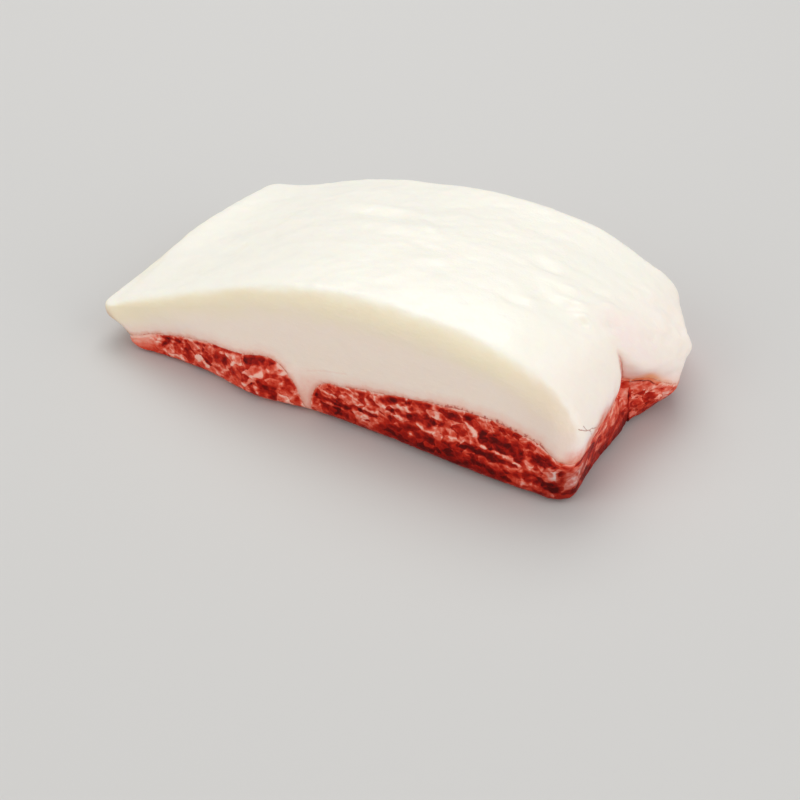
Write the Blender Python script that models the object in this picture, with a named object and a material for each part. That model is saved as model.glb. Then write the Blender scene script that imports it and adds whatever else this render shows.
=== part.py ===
"""Wild boar loin: one block of raw loin cut square across, resting on its lean side.

A thick cap of fat lies over the top and comes down between the muscles as a
seam.  Under it lie the thin rib muscle at the left, the wide eye muscle and,
behind the cleft in the right end, the flap muscle.  The front cut looks
towards -Y, the cut right end towards +X, and the block stands on z = 0.
"""
import math

import bmesh
import bpy
from mathutils import Vector

# ---- driving dimensions, in millimetres -----------------------------------
NOSE_X = -152.0            # left end, where the fat overhangs the lean
END_X = 67.5               # right end at half height
FRONT_Y = -3.5             # plane of the front cut
BACK_Y = 121.0             # plane of the back cut
LEVEL = 50.0               # height of the plain block before it is arched
ROUND_SIDE = 8.0           # rounding of the upright edges
ROUND_END = 14.0           # rounding of the upper edge over the right end
ROUND_TOP = 8.5            # rounding of the upper edges elsewhere
ROUND_FOOT = 4.5           # rounding of the lower edges
NOSE_LENGTH = 60.0         # how far the rounding of the left end reaches
NOSE_ROUND = 4.0           # how far the middle of the left end stands out
NOSE_UNDERCUT = 9.5        # how far the lean stands back under the nose
NOSE_LIP = 2.5             # how far the edge of the fat stands out over it
LIP_HEIGHT = 16.0          # height of that edge
BACK_SKEW = 7.0            # how far the back left corner is drawn forward
MIDDLE_RISE = 3.0          # how far the middle rises over front and back
NOSE_RISE = 4.5            # the same at the left end
END_LENGTH = 55.0          # how far the forms of the right end reach
END_LEAN = 6.0             # how far the foot of the right end stands back
CLEFT_Y = 54.5             # where the cleft opens in the right end
CLEFT_DEPTH = 13.8
CLEFT_HALF = 7.5           # half width of the cleft in the lean
CLEFT_CREASE = (4.5, 2.4)  # half widths of its near and far side in the fat
CLEFT_TIP = (0.9, 1.3)     # rounding of its bottom, low and high
CLEFT_FADE = (18.0, 44.0)  # heights between which the cleft closes
CLEFT_SLANT = 9.0          # how far it draws towards the front cut as it rises
CLEFT_RISE = (18.0, 42.0)  # heights between which it does so
CLEFT_SAG = 1.5            # dip of the upper side over the cleft
HOLLOW = (42.0, 17.0, 3.0)       # hollow before the cleft: y, reach, depth
FOOT_HOLLOW = (57.0, 8.0, 2.2)   # hollow at the foot of the cleft
LOBE = (77.0, 13.0, 6.2)         # lobe behind the cleft: y, reach, how far it stands out
BACK_CORNER = (84.0, 122.0, 16.0)    # the back right corner is cut off from y to y: amount
TOP_CORNER = 6.0           # the same for the upper edge there
SEAM_X = (-50.0, -46.6)    # the two sides of the seam of fat at the foot
EYE_SIDE = 11.0            # width of the rounded left side of the eye muscle
EYE_HEIGHT = 17.6          # height where that side ends
GAP = 0.3                  # clear space between the separate pieces
FLAP_WALL = ((59.5, 55.2), (8.0, 121.4))   # line parting eye and flap muscle

# crown of the front cut and of the back cut: distance along x, height
FRONT_ARCH = ((-158, 15), (-146, 20), (-126, 28.5), (-100, 38.5), (-75, 48), (-45, 54.5),
              (-5, 57), (30, 54), (52, 47), (64, 40), (74, 33))
BACK_ARCH = ((-162, 24), (-140, 28), (-120, 33), (-95, 40.5), (-70, 45.5), (-30, 50),
             (5, 47.6), (30, 41.6), (50, 37), (72, 33))
# height of the lean at the front cut, and along the right end
RIB_LEAN = ((-190, 2.5), (-146, 4), (-138, 6.5), (-126, 10.5), (-112, 14), (-96, 16.5), (-80, 17.8),
            (-69, 20), (-61, 18.5), (-54.5, 12.5), (-51, 5), (-50, 0), (-48.4, -8))
EYE_LEAN = ((-36, 17.6), (-20, 20.5), (0, 23.8), (20, 26.2), (36, 26.2), (48, 24), (80, 20))
END_RISE = ((-8, 17), (0, 17), (9, 19.5), (16, 21.5), (23, 22.5), (32, 21.5), (44, 19.5), (52, 19),
            (57, 20.4), (62, 20), (67, 17), (72, 14), (82, 10), (100, 12), (126, 17))
# swells of the lean at the foot of the front cut: x, reach, amount
FOOT_SWELLS = ((-72, 17, 3.9), (30, 32, 2.1), (-116, 22, -1.6))
# soft swells and dents of the upper side: x, y, reach along x, reach along y, height
SWELLS = ((-56, 60, 17, 5, 0.7), (-58, 72, 22, 7, -0.8), (34, 40, 9, 7, -1.1), (46, 52, 6, 9, 0.9),
          (24, 58, 10, 6, 0.6), (-118, 84, 16, 14, 0.7), (-20, 96, 24, 12, -0.7), (30, 92, 14, 9, -0.9),
          (-96, 40, 20, 15, -0.5), (0, 20, 26, 9, 0.5), (52, 96, 9, 7, 0.9), (57, 74, 8, 6, -0.6))
# small swells of the lobe: y, reach, height, reach, amount
LOBE_SWELLS = ((86, 7, 23.5, 6, 2.5), (90, 7, 32.5, 4, -2.2))

# stations where the plain block is divided
LONG_STATIONS = (-151.2, -149.4, -147, -144, -139, -133, -126, -118, -109, -99, -88, -77, -66, -56,
                 -46, -36, -26, -15, -4, 7, 18, 28, 37, 44, 49, 53, 56, 59, 61.6, 64, 65.8, 67)
DEEP_STATIONS = (-3.0, -1.4, 1, 4.5, 11, 19, 28, 36, 41, 44.5, 47, 49, 50.8, 52.3, 53.5, 54.5, 55.5, 57, 59.5,
                 63, 68, 74, 79, 83.5, 88, 93, 99, 105.5, 112, 116.5, 119.2, 120.6)
HIGH_STATIONS = (0.4, 1.5, 3, 5, 9, 14, 20, 26, 31.5, 36, 39.5, 42.5, 45, 47.2, 49.2)
RIB_STATIONS = (-160, -146, -138, -130, -120, -110, -100, -90, -80, -74, -69, -65, -61, -58, -55.8,
                -54, -52.6, -51.6, -50.8, -50.2, -49.4)
EYE_STATIONS = (-47.55, -47.3, -46.8, -46, -45, -43.5, -41, -38, -34, -28, -20, -10, 0, 10, 20, 30,
                38, 44, 49, 53, 56.5, 60, 64, 70)
LEAN_DEPTHS = (-3.5, 4, 12, 20, 28, 36, 43, 48, 51.5, 54.5, 57.5, 61.5, 67, 74, 82, 91, 102, 112, 121)

SHARP_ANGLE = math.radians(38)
RIM = 12.0                 # how far the cutting blocks reach beyond the loin
RIB_SPAN = (-190.0, -48.4)
EYE_SPAN = (SEAM_X[1] - 1.0, 110.0)


# ---- small formulas --------------------------------------------------------
def lerp(a, b, t):
    """Value the part t of the way from a to b."""
    return a + (b - a) * t


def share(a, b, x):
    """Part of the way from a to b that x has come, from 0 to 1."""
    return min(max((x - a) / (b - a), 0.0), 1.0)


def ease(a, b, x):
    """Smooth rise from 0 at a to 1 at b."""
    t = share(a, b, x)
    return t * t * (3.0 - 2.0 * t)


def bell(x, centre, reach):
    """Smooth hump of height 1."""
    return math.exp(-(((x - centre) / reach) ** 2))


def cusp(x, centre, reach, tip):
    """Hump of height 1 whose tip has the half width given."""
    return math.exp(-(math.sqrt((x - centre) ** 2 + tip**2) - tip) / reach)


def through(points, x):
    """Height at x of a smooth curve through the given points."""
    last = len(points) - 1
    x = min(max(x, points[0][0]), points[last][0])
    k = 0
    while k < last - 1 and x > points[k + 1][0]:
        k += 1

    def slope(i):
        low, high = max(i - 1, 0), min(i + 1, last)
        return (points[high][1] - points[low][1]) / (points[high][0] - points[low][0])

    (xa, za), (xb, zb) = points[k], points[k + 1]
    h = xb - xa
    t = (x - xa) / h
    return ((2 * t**3 - 3 * t**2 + 1) * za + (t**3 - 2 * t**2 + t) * h * slope(k)
            + (3 * t**2 - 2 * t**3) * zb + (t**3 - t**2) * h * slope(k + 1))


# ---- the outer form --------------------------------------------------------
def crown(x, y):
    """Height of the upper side over the point x, y."""
    depth = min(max((y - FRONT_Y) / (BACK_Y - FRONT_Y), 0.0), 1.0)
    middle = math.sin(math.pi * depth)
    height = lerp(through(FRONT_ARCH, x), through(BACK_ARCH, x), ease(0, 1, depth))
    height += MIDDLE_RISE * middle * ease(-150, -90, x) * (1 - ease(40, 70, x))
    height += NOSE_RISE * middle * bell(x, NOSE_X - 3, 18)
    height -= CLEFT_SAG * bell(x, END_X - 9.5, 9) * bell(y, CLEFT_Y - 1, 6)
    for cx, cy, rx, ry, rise in SWELLS:
        height += rise * bell(x, cx, rx) * bell(y, cy, ry)
    return height


def soften(p):
    """Round the edges of the plain block at the point p."""
    side = ROUND_SIDE
    if p.x > 0:
        side = lerp(ROUND_SIDE, ROUND_END, ease(0.35 * LEVEL, LEVEL, p.z))
    upper = lerp(ROUND_TOP, ROUND_END + 1.5, ease(30, END_X, p.x))
    radii = (side, ROUND_SIDE, upper if p.z > LEVEL / 2 else ROUND_FOOT)
    low, high = (NOSE_X, FRONT_Y, 0.0), (END_X, BACK_Y, LEVEL)
    core = [min(max(p[i], low[i] + radii[i]), high[i] - radii[i]) for i in range(3)]
    out = [(p[i] - core[i]) / radii[i] for i in range(3)]
    length = math.sqrt(sum(v * v for v in out))
    if length < 1e-9:
        return Vector(core)
    reach = max(abs(v) for v in out) / length
    return Vector([core[i] + reach * out[i] * radii[i] for i in range(3)])


def end_in(y, z):
    """How far the right end stands back: its foot, the cleft and the back corner."""
    foot = lerp(0.45, 1.0, ease(-4, 28, y)) * END_LEAN * (1 - ease(4, 42, z))
    line = CLEFT_Y - CLEFT_SLANT * share(*CLEFT_RISE, z)
    near, far = (lerp(CLEFT_HALF, crease, ease(14, 27, z)) for crease in CLEFT_CREASE)
    half = far if y > line else near
    tip = lerp(*CLEFT_TIP, ease(26, 40, z))
    cleft = CLEFT_DEPTH * cusp(y, line, half, tip) * ease(2, 26, z) * (1 - ease(*CLEFT_FADE, z))
    cleft += HOLLOW[2] * bell(y, HOLLOW[0], HOLLOW[1]) * lerp(0.4, 1.0, ease(4, 24, z))
    cleft += FOOT_HOLLOW[2] * bell(y, FOOT_HOLLOW[0], FOOT_HOLLOW[1]) * (1 - ease(8, 22, z))
    corner = BACK_CORNER[2] * ease(BACK_CORNER[0], BACK_CORNER[1], y)
    return foot + cleft + corner + TOP_CORNER * ease(28, 44, z) * ease(60, 100, y)


def lobe_out(y, z):
    """How far the lobe behind the cleft stands out."""
    out = LOBE[2] * bell(y, LOBE[0], LOBE[1]) * ease(1, 9, z) * (1 - ease(12, 36, z))
    return out + sum(amount * bell(y, cy, ry) * bell(z, cz, rz) for cy, ry, cz, rz, amount in LOBE_SWELLS)


def shape_block(p):
    """Carry a point of the plain block to its place on the loin."""
    q = soften(p)
    nose = 1 - ease(NOSE_X, NOSE_X + NOSE_LENGTH, q.x)
    x = q.x - NOSE_ROUND * nose * bell(q.y, 55, 35)
    y = q.y - BACK_SKEW * ease(BACK_Y / 2, BACK_Y, q.y) * (1 - ease(NOSE_X, -100, x))
    z = crown(x, y) * q.z / LEVEL
    nose = 1 - ease(NOSE_X, NOSE_X + 0.75 * NOSE_LENGTH, x)
    undercut = NOSE_UNDERCUT * (1 - ease(4, 13, z)) - NOSE_LIP * bell(z, LIP_HEIGHT, 5)
    x += nose * undercut * (1 - 0.5 * ease(40, 110, y))
    right = ease(END_X - END_LENGTH, END_X, x)
    x += right * (lobe_out(y, z) - end_in(y, z))
    front = (1 - ease(FRONT_Y, FRONT_Y + 30, y)) * (1 - ease(9, 24, z))
    y -= front * sum(out * bell(x, cx, reach) for cx, reach, out in FOOT_SWELLS)
    return Vector((x, y, z))


# ---- the upper sides of the muscles ---------------------------------------
def rib_top(x, y):
    """Height of the rib muscle."""
    back = ease(0, 120, y) * (1 - ease(-60, -51, x))
    return through(RIB_LEAN, x) * (1 - 0.14 * back) + 1.6 * back * math.sin(x / 13)


def eye_top(x, y):
    """Height of the eye and flap muscles, which share one upper side."""
    start = SEAM_X[1] - 1.0
    if x < start + EYE_SIDE:
        t = min(max((start + EYE_SIDE - x) / EYE_SIDE, 0.0), 1.0)
        front = EYE_HEIGHT * (1 - t**2.6) ** (1 / 2.6)
    else:
        front = through(EYE_LEAN, x)
    back = ease(0, 120, y) * ease(-44, -20, x)
    front = front * (1 - 0.16 * back) + 1.8 * back * math.sin(x / 15)
    return lerp(front, through(END_RISE, y), ease(50, 66, x))


def above(top, x, y, lift):
    """Point of a muscle's upper side moved outwards by lift."""
    d = 0.05
    along = (top(x + d, y) - top(x - d, y)) / (2 * d)
    across = (top(x, y + d) - top(x, y - d)) / (2 * d)
    out = Vector((-along, -across, 1.0)).normalized()
    return Vector((x, y, top(x, y))) + lift * out


# ---- building blocks -------------------------------------------------------
def divided_block(low, high, stations):
    """Closed block from low to high, divided at the stations of each axis."""
    bm = bmesh.new()
    bmesh.ops.create_cube(bm, size=1.0)
    for v in bm.verts:
        v.co = Vector([lerp(low[i], high[i], v.co[i] + 0.5) for i in range(3)])
    for axis, places in enumerate(stations):
        normal = Vector([1.0 if i == axis else 0.0 for i in range(3)])
        for place in places:
            bmesh.ops.bisect_plane(bm, geom=bm.verts[:] + bm.edges[:] + bm.faces[:], dist=1e-5,
                                   plane_co=normal * place, plane_no=normal)
    return bm


def add_object(bm, name, collection):
    """Turn a bmesh into an object of the collection."""
    bm.normal_update()
    bmesh.ops.recalc_face_normals(bm, faces=bm.faces[:])
    mesh = bpy.data.meshes.new(name)
    bm.to_mesh(mesh)
    bm.free()
    obj = bpy.data.objects.new(name, mesh)
    collection.objects.link(obj)
    return obj


def make_block(name, collection):
    """The whole loin as one closed block."""
    bm = divided_block((NOSE_X, FRONT_Y, 0.0), (END_X, BACK_Y, LEVEL),
                       (LONG_STATIONS, DEEP_STATIONS, HIGH_STATIONS))
    for v in bm.verts:
        v.co = shape_block(v.co)
    return add_object(bm, name, collection)


def make_envelope(name, collection, top, span, stations, lift):
    """Block whose upper side is that of a muscle, wider than the loin elsewhere."""
    low = (span[0], FRONT_Y - RIM, -RIM)
    high = (span[1], BACK_Y + RIM, 0.0)
    bm = divided_block(low, high, (stations, LEAN_DEPTHS, ()))
    for v in bm.verts:
        x, y = v.co.x, v.co.y
        upper = above(top, x, y, lift)
        v.co = upper if v.co.z > -0.5 * RIM else Vector((upper.x, y, -RIM))
    bmesh.ops.triangulate(bm, faces=bm.faces[:], quad_method="FIXED")
    return add_object(bm, name, collection)


def make_side_block(name, collection, shift):
    """Upright block on the flap side of the parting line, moved by shift."""
    a, b = Vector(FLAP_WALL[0]), Vector(FLAP_WALL[1])
    along = (b - a).normalized()
    out = Vector((along.y, -along.x))
    bm = divided_block((-60.0, 0.0, -20.0), (160.0, 160.0, 80.0), ((), (), ()))
    for v in bm.verts:
        flat = a + along * v.co.x + out * (v.co.y + shift)
        v.co = Vector((flat.x, flat.y, v.co.z))
    return add_object(bm, name, collection)


def combine(obj, cutter, operation):
    """Apply one exact Boolean to the object."""
    mod = obj.modifiers.new("cut", "BOOLEAN")
    mod.operation = operation
    mod.solver = "EXACT"
    mod.object = cutter
    bpy.context.view_layer.update()
    graph = bpy.context.evaluated_depsgraph_get()
    mesh = bpy.data.meshes.new_from_object(obj.evaluated_get(graph))
    obj.modifiers.remove(mod)
    old = obj.data
    obj.data = mesh
    bpy.data.meshes.remove(old)
    mesh.name = obj.name


def copy_of(obj, name, collection):
    """Copy an object with its own mesh."""
    twin = bpy.data.objects.new(name, obj.data.copy())
    twin.data.name = name
    collection.objects.link(twin)
    return twin


def finish(obj, centre, material):
    """Clean a piece, centre it over the origin in metres and set its shading."""
    bm = bmesh.new()
    bm.from_mesh(obj.data)
    bmesh.ops.remove_doubles(bm, verts=bm.verts[:], dist=0.01)
    flat = [e for e in bm.edges if len(e.link_faces) == 2
            and all(abs(f.normal.z) > 0.9999 and f.calc_center_median().z < 0.01 for f in e.link_faces)]
    bmesh.ops.dissolve_edges(bm, edges=flat, use_verts=False, use_face_split=False)
    bmesh.ops.recalc_face_normals(bm, faces=bm.faces[:])
    for v in bm.verts:
        v.co = (v.co - centre) * 0.001
    for f in bm.faces:
        f.smooth = True
        f.material_index = 0
    for e in bm.edges:
        if len(e.link_faces) == 2 and e.calc_face_angle(0.0) > SHARP_ANGLE:
            e.smooth = False
    bm.to_mesh(obj.data)
    bm.free()
    obj.data.materials.clear()
    obj.data.materials.append(material)


def make_material(name, colour, roughness, scatter):
    """Principled material of one piece."""
    mat = bpy.data.materials.new(name)
    mat.use_nodes = True
    shader = mat.node_tree.nodes["Principled BSDF"]
    shader.inputs["Base Color"].default_value = (*colour, 1.0)
    shader.inputs["Roughness"].default_value = roughness
    shader.inputs["Subsurface Weight"].default_value = scatter
    mat.diffuse_color = (*colour, 1.0)
    return mat


def new_collection(name):
    """Collection linked to the scene."""
    collection = bpy.data.collections.new(name)
    bpy.context.scene.collection.children.link(collection)
    return collection


def build():
    """Build the loin."""
    for obj in list(bpy.data.objects):
        bpy.data.objects.remove(obj, do_unlink=True)
    parts = new_collection("wild_boar_loin")
    cutters = new_collection("cutters")

    whole = make_block("fat_cap", parts)
    corners = [v.co for v in whole.data.vertices]
    centre = Vector([(min(c[i] for c in corners) + max(c[i] for c in corners)) / 2 for i in range(2)] + [0.0])

    rib_core = make_envelope("rib_core", cutters, rib_top, RIB_SPAN, RIB_STATIONS, 0.0)
    rib_room = make_envelope("rib_room", cutters, rib_top, RIB_SPAN, RIB_STATIONS, GAP)
    eye_core = make_envelope("eye_core", cutters, eye_top, EYE_SPAN, EYE_STATIONS, 0.0)
    eye_room = make_envelope("eye_room", cutters, eye_top, EYE_SPAN, EYE_STATIONS, GAP)
    flap_core = copy_of(eye_core, "flap_core", cutters)
    combine(eye_core, make_side_block("eye_side", cutters, -GAP / 2), "DIFFERENCE")
    combine(flap_core, make_side_block("flap_side", cutters, GAP / 2), "INTERSECT")

    rib = copy_of(whole, "rib_muscle", parts)
    eye = copy_of(whole, "eye_muscle", parts)
    flap = copy_of(whole, "flap_muscle", parts)
    combine(rib, rib_core, "INTERSECT")
    combine(eye, eye_core, "INTERSECT")
    combine(flap, flap_core, "INTERSECT")
    combine(whole, rib_room, "DIFFERENCE")
    combine(whole, eye_room, "DIFFERENCE")

    finish(whole, centre, make_material("fat", (0.89, 0.85, 0.76), 0.38, 0.25))
    finish(rib, centre, make_material("rib_lean", (0.36, 0.035, 0.02), 0.34, 0.15))
    finish(eye, centre, make_material("eye_lean", (0.33, 0.028, 0.016), 0.34, 0.15))
    finish(flap, centre, make_material("flap_lean", (0.38, 0.045, 0.028), 0.34, 0.15))
    for cutter in cutters.objects:
        cutter.scale = (0.001, 0.001, 0.001)
        cutter.location = -0.001 * centre
        cutter.hide_render = True
        cutter.display_type = "WIRE"


build()
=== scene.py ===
"""Looks of the wild boar loin: moist white fat over marbled raw lean.

Lengths inside the form are millimetres in the loin's own frame: x runs along
the front cut, y away from it and z up.  Finished meshes are in metres in the
row frame, where the middle of the loin lies over the origin.
"""
import logging
import math
from dataclasses import dataclass, field
from enum import Enum
from typing import Any, Callable, Union

import bmesh
import bpy
import numpy as np
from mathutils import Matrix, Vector, noise


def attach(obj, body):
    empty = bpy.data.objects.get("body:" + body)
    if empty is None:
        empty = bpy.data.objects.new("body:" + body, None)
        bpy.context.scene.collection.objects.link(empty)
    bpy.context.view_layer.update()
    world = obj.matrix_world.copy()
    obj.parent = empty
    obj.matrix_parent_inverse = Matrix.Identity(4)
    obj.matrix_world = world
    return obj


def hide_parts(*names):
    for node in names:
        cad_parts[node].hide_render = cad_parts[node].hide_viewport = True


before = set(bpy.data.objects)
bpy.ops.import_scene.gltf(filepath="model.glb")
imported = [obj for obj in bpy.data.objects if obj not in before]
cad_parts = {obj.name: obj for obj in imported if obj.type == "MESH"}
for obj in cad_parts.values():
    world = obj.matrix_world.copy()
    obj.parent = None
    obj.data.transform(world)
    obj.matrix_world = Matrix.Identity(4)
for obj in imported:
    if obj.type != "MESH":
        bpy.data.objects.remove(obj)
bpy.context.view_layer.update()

LOG = logging.getLogger("loin")
MILLI = 0.001
Array = np.ndarray
Span = tuple[float, float]
Triple = tuple[float, float, float]
Tone = tuple[int, int, int]
Curve = tuple[Span, ...]
Path = tuple[Triple, ...]


# ---- small formulas ---------------------------------------------------------
def lerp(a: Any, b: Any, t: Any) -> Any:
    """Value the part t of the way from a to b."""
    return a + (b - a) * t


def ease(a: float, b: float, x: Any) -> Any:
    """Smooth rise from 0 at a to 1 at b."""
    t = np.clip((x - a) / (b - a), 0.0, 1.0)
    return t * t * (3.0 - 2.0 * t)


def bell(x: Any, centre: float, reach: float) -> Any:
    """Smooth hump of height 1."""
    return np.exp(-(((x - centre) / reach) ** 2))


def cusp(x: Any, centre: float, reach: Any, tip: Any) -> Any:
    """Hump of height 1 whose tip has the half width given."""
    return np.exp(-(np.sqrt((x - centre) ** 2 + tip**2) - tip) / reach)


def through(points: Curve, x: Array) -> Array:
    """Height of a smooth curve through the given points.

    Args:
        points: places along the curve and the heights there.
        x: places asked for.

    Returns:
        The height at each place.
    """
    at, height = np.array(points, float).T
    x = np.clip(x, at[0], at[-1])
    slope = np.empty_like(at)
    slope[1:-1] = (height[2:] - height[:-2]) / (at[2:] - at[:-2])
    slope[0] = (height[1] - height[0]) / (at[1] - at[0])
    slope[-1] = (height[-1] - height[-2]) / (at[-1] - at[-2])
    k = np.clip(np.searchsorted(at, x, side="right") - 1, 0, len(at) - 2)
    h = at[k + 1] - at[k]
    t = (x - at[k]) / h
    return ((2 * t**3 - 3 * t**2 + 1) * height[k] + (t**3 - 2 * t**2 + t) * h * slope[k]
            + (3 * t**2 - 2 * t**3) * height[k + 1] + (t**3 - t**2) * h * slope[k + 1])


def grain(points: Array, size: Triple, seed: float) -> Array:
    """Smooth noise from -1 to 1.

    Args:
        points: places in millimetres.
        size: how long one swell is along each axis.
        seed: shifts the pattern.

    Returns:
        The noise at each point.
    """
    scaled = points / np.array(size) + seed
    return np.array([noise.noise(p) for p in scaled.tolist()])


def linear(red: int, green: int, blue: int) -> tuple[float, ...]:
    """Opaque linear colour of a screen colour given from 0 to 255."""
    parts = [c / 255 for c in (red, green, blue)]
    return (*(c / 12.92 if c <= 0.04045 else ((c + 0.055) / 1.055) ** 2.4 for c in parts), 1.0)


# ---- the form of the loin ---------------------------------------------------
@dataclass(frozen=True)
class LoinForm:
    """Outer form of the loin and the upper sides of its muscles.

    A Span of places or heights says where a change starts and where it is
    complete, and a hump or hollow is given by its centre, reach and height.
    """

    nose_x: float = -152.0
    end_x: float = 67.5
    front_y: float = -3.5
    back_y: float = 121.0
    level: float = 50.0
    # rounding of the edges
    round_side: float = 8.0
    round_end: float = 14.0
    round_top: float = 8.5
    round_end_top: float = 15.5
    round_foot: float = 4.5
    round_from_x: float = 30.0
    # nose, at the left
    nose_length: float = 60.0
    nose_round: float = 4.0
    nose_middle: Span = (55.0, 35.0)
    nose_undercut: float = 9.5
    undercut_fade: Span = (4.0, 13.0)
    undercut_back: Span = (40.0, 110.0)
    nose_lip: float = 2.5
    lip_height: float = 16.0
    lip_reach: float = 5.0
    back_skew: float = 7.0
    skew_end: float = -100.0
    # upper side
    middle_rise: float = 3.0
    rise_start: Span = (-150.0, -90.0)
    rise_end: Span = (40.0, 70.0)
    nose_rise: float = 4.5
    nose_crest: Span = (-155.0, 18.0)
    # right end: its foot, the cleft and the lobe behind the cleft
    end_length: float = 55.0
    end_lean: float = 6.0
    lean_least: float = 0.45
    lean_along: Span = (-4.0, 28.0)
    lean_fade: Span = (4.0, 42.0)
    cleft_y: float = 54.5
    cleft_depth: float = 13.8
    cleft_half: float = 7.5
    cleft_crease: Span = (4.5, 2.4)
    crease_rise: Span = (14.0, 27.0)
    cleft_tip: Span = (0.9, 1.3)
    tip_rise: Span = (26.0, 40.0)
    cleft_foot: Span = (2.0, 26.0)
    cleft_fade: Span = (18.0, 44.0)
    cleft_slant: float = 9.0
    cleft_rise: Span = (18.0, 42.0)
    cleft_sag: float = 1.5
    sag_at: tuple[Span, Span] = ((58.0, 9.0), (53.5, 6.0))
    hollow: Triple = (42.0, 17.0, 3.0)
    hollow_least: float = 0.4
    hollow_rise: Span = (4.0, 24.0)
    foot_hollow: Triple = (57.0, 8.0, 2.2)
    foot_hollow_fade: Span = (8.0, 22.0)
    lobe: Triple = (77.0, 13.0, 6.2)
    lobe_rise: Span = (1.0, 9.0)
    lobe_fade: Span = (12.0, 36.0)
    back_corner: Triple = (84.0, 122.0, 16.0)
    top_corner: float = 6.0
    top_corner_up: Span = (28.0, 44.0)
    top_corner_back: Span = (60.0, 100.0)
    # foot of the front cut
    foot_depth: float = 30.0
    foot_fade: Span = (9.0, 24.0)
    # muscles
    muscle_back: Span = (0.0, 120.0)
    rib_end: float = -48.4
    rib_back_fade: Span = (-60.0, -51.0)
    rib_sink: float = 0.14
    rib_wave: Span = (1.6, 13.0)
    rib_fray: float = 0.30
    rib_fray_start: Span = (-150.0, -135.0)
    rib_fray_end: Span = (-58.0, -52.0)
    eye_start: float = -47.6
    eye_side: float = 11.0
    eye_height: float = 17.6
    eye_power: float = 2.6
    eye_back_rise: Span = (-44.0, -20.0)
    eye_sink: float = 0.16
    eye_wave: Span = (1.8, 15.0)
    eye_fray: Span = (0.22, 0.42)
    eye_fray_rise: Span = (0.0, 25.0)
    eye_fray_start: Span = (-40.0, -30.0)
    end_turn: Span = (50.0, 66.0)
    flap_wall: tuple[Span, Span] = ((59.5, 55.2), (8.0, 121.4))
    middle: Triple = (-44.510, 56.996, 0.0)
    front_arch: Curve = (
        (-158, 15), (-146, 20), (-126, 28.5), (-100, 38.5), (-75, 48), (-45, 54.5), (-5, 57), (30, 54),
        (52, 47), (64, 40), (74, 33))
    back_arch: Curve = (
        (-162, 24), (-140, 28), (-120, 33), (-95, 40.5), (-70, 45.5), (-30, 50), (5, 47.6), (30, 41.6),
        (50, 37), (72, 33))
    rib_lean: Curve = (
        (-190, 2.5), (-146, 4), (-138, 6.5), (-126, 10.5), (-112, 14), (-96, 16.5), (-80, 17.8), (-69, 20),
        (-61, 18.5), (-54.5, 12.5), (-51, 5), (-50, 0), (-48.4, -8))
    eye_lean: Curve = ((-36, 17.6), (-20, 20.5), (0, 23.8), (20, 26.2), (36, 26.2), (48, 24), (80, 20))
    end_rise: Curve = (
        (-8, 17), (0, 17), (9, 19.5), (16, 21.5), (23, 22.5), (32, 21.5), (44, 19.5), (52, 19), (57, 20.4),
        (62, 20), (67, 17), (72, 14), (82, 10), (100, 12), (126, 17))
    # humps, each with its reach and height: the foot's by x, the top's by x and y, the lobe's by y and z
    foot_swells: tuple[Triple, ...] = ((-72, 17, 3.9), (30, 32, 2.1), (-116, 22, -1.6))
    swells: tuple[tuple[float, ...], ...] = (
        (-56, 60, 17, 5, 0.7), (-58, 72, 22, 7, -0.8), (34, 40, 9, 7, -1.1), (46, 52, 6, 9, 0.9),
        (24, 58, 10, 6, 0.6), (-118, 84, 16, 14, 0.7), (-20, 96, 24, 12, -0.7), (30, 92, 14, 9, -0.9),
        (-96, 40, 20, 15, -0.5), (0, 20, 26, 9, 0.5), (52, 96, 9, 7, 0.9), (57, 74, 8, 6, -0.6))
    lobe_swells: tuple[tuple[float, ...], ...] = ((86, 7, 23.5, 6, 2.5), (90, 7, 32.5, 4, -2.2))

    def crown(self, x: Array, y: Array) -> Array:
        """Height of the upper side over each point x, y.

        Args:
            x: places along the front cut.
            y: places behind the front cut.

        Returns:
            The height at each point.
        """
        depth = np.clip((y - self.front_y) / (self.back_y - self.front_y), 0.0, 1.0)
        arch = np.sin(math.pi * depth)
        height = lerp(through(self.front_arch, x), through(self.back_arch, x), ease(0, 1, depth))
        height = height + self.middle_rise * arch * ease(*self.rise_start, x) * (1 - ease(*self.rise_end, x))
        height += self.nose_rise * arch * bell(x, *self.nose_crest)
        height -= self.cleft_sag * bell(x, *self.sag_at[0]) * bell(y, *self.sag_at[1])
        for cx, cy, rx, ry, rise in self.swells:
            height += rise * bell(x, cx, rx) * bell(y, cy, ry)
        return height

    def soften(self, p: Array) -> Array:
        """Round the edges of the plain block at each point.

        Args:
            p: points of the plain block.

        Returns:
            The same points, drawn in at the edges and corners.
        """
        taller = lerp(self.round_side, self.round_end, ease(0.35 * self.level, self.level, p[:, 2]))
        side = np.where(p[:, 0] > 0, taller, self.round_side)
        upper = lerp(self.round_top, self.round_end_top, ease(self.round_from_x, self.end_x, p[:, 0]))
        upper = np.where(p[:, 2] > self.level / 2, upper, self.round_foot)
        radii = np.stack([side, np.full_like(side, self.round_side), upper], axis=1)
        low = np.array((self.nose_x, self.front_y, 0.0))
        high = np.array((self.end_x, self.back_y, self.level))
        core = np.clip(p, low + radii, high - radii)
        out = (p - core) / radii
        length = np.linalg.norm(out, axis=1)
        reach = np.abs(out).max(axis=1) / np.maximum(length, 1e-9)
        return core + reach[:, None] * out * radii

    def undercut(self, z: Array) -> Array:
        """How far the face of the nose stands back at each height."""
        lip = self.nose_lip * bell(z, self.lip_height, self.lip_reach)
        return self.nose_undercut * (1 - ease(*self.undercut_fade, z)) - lip

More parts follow.
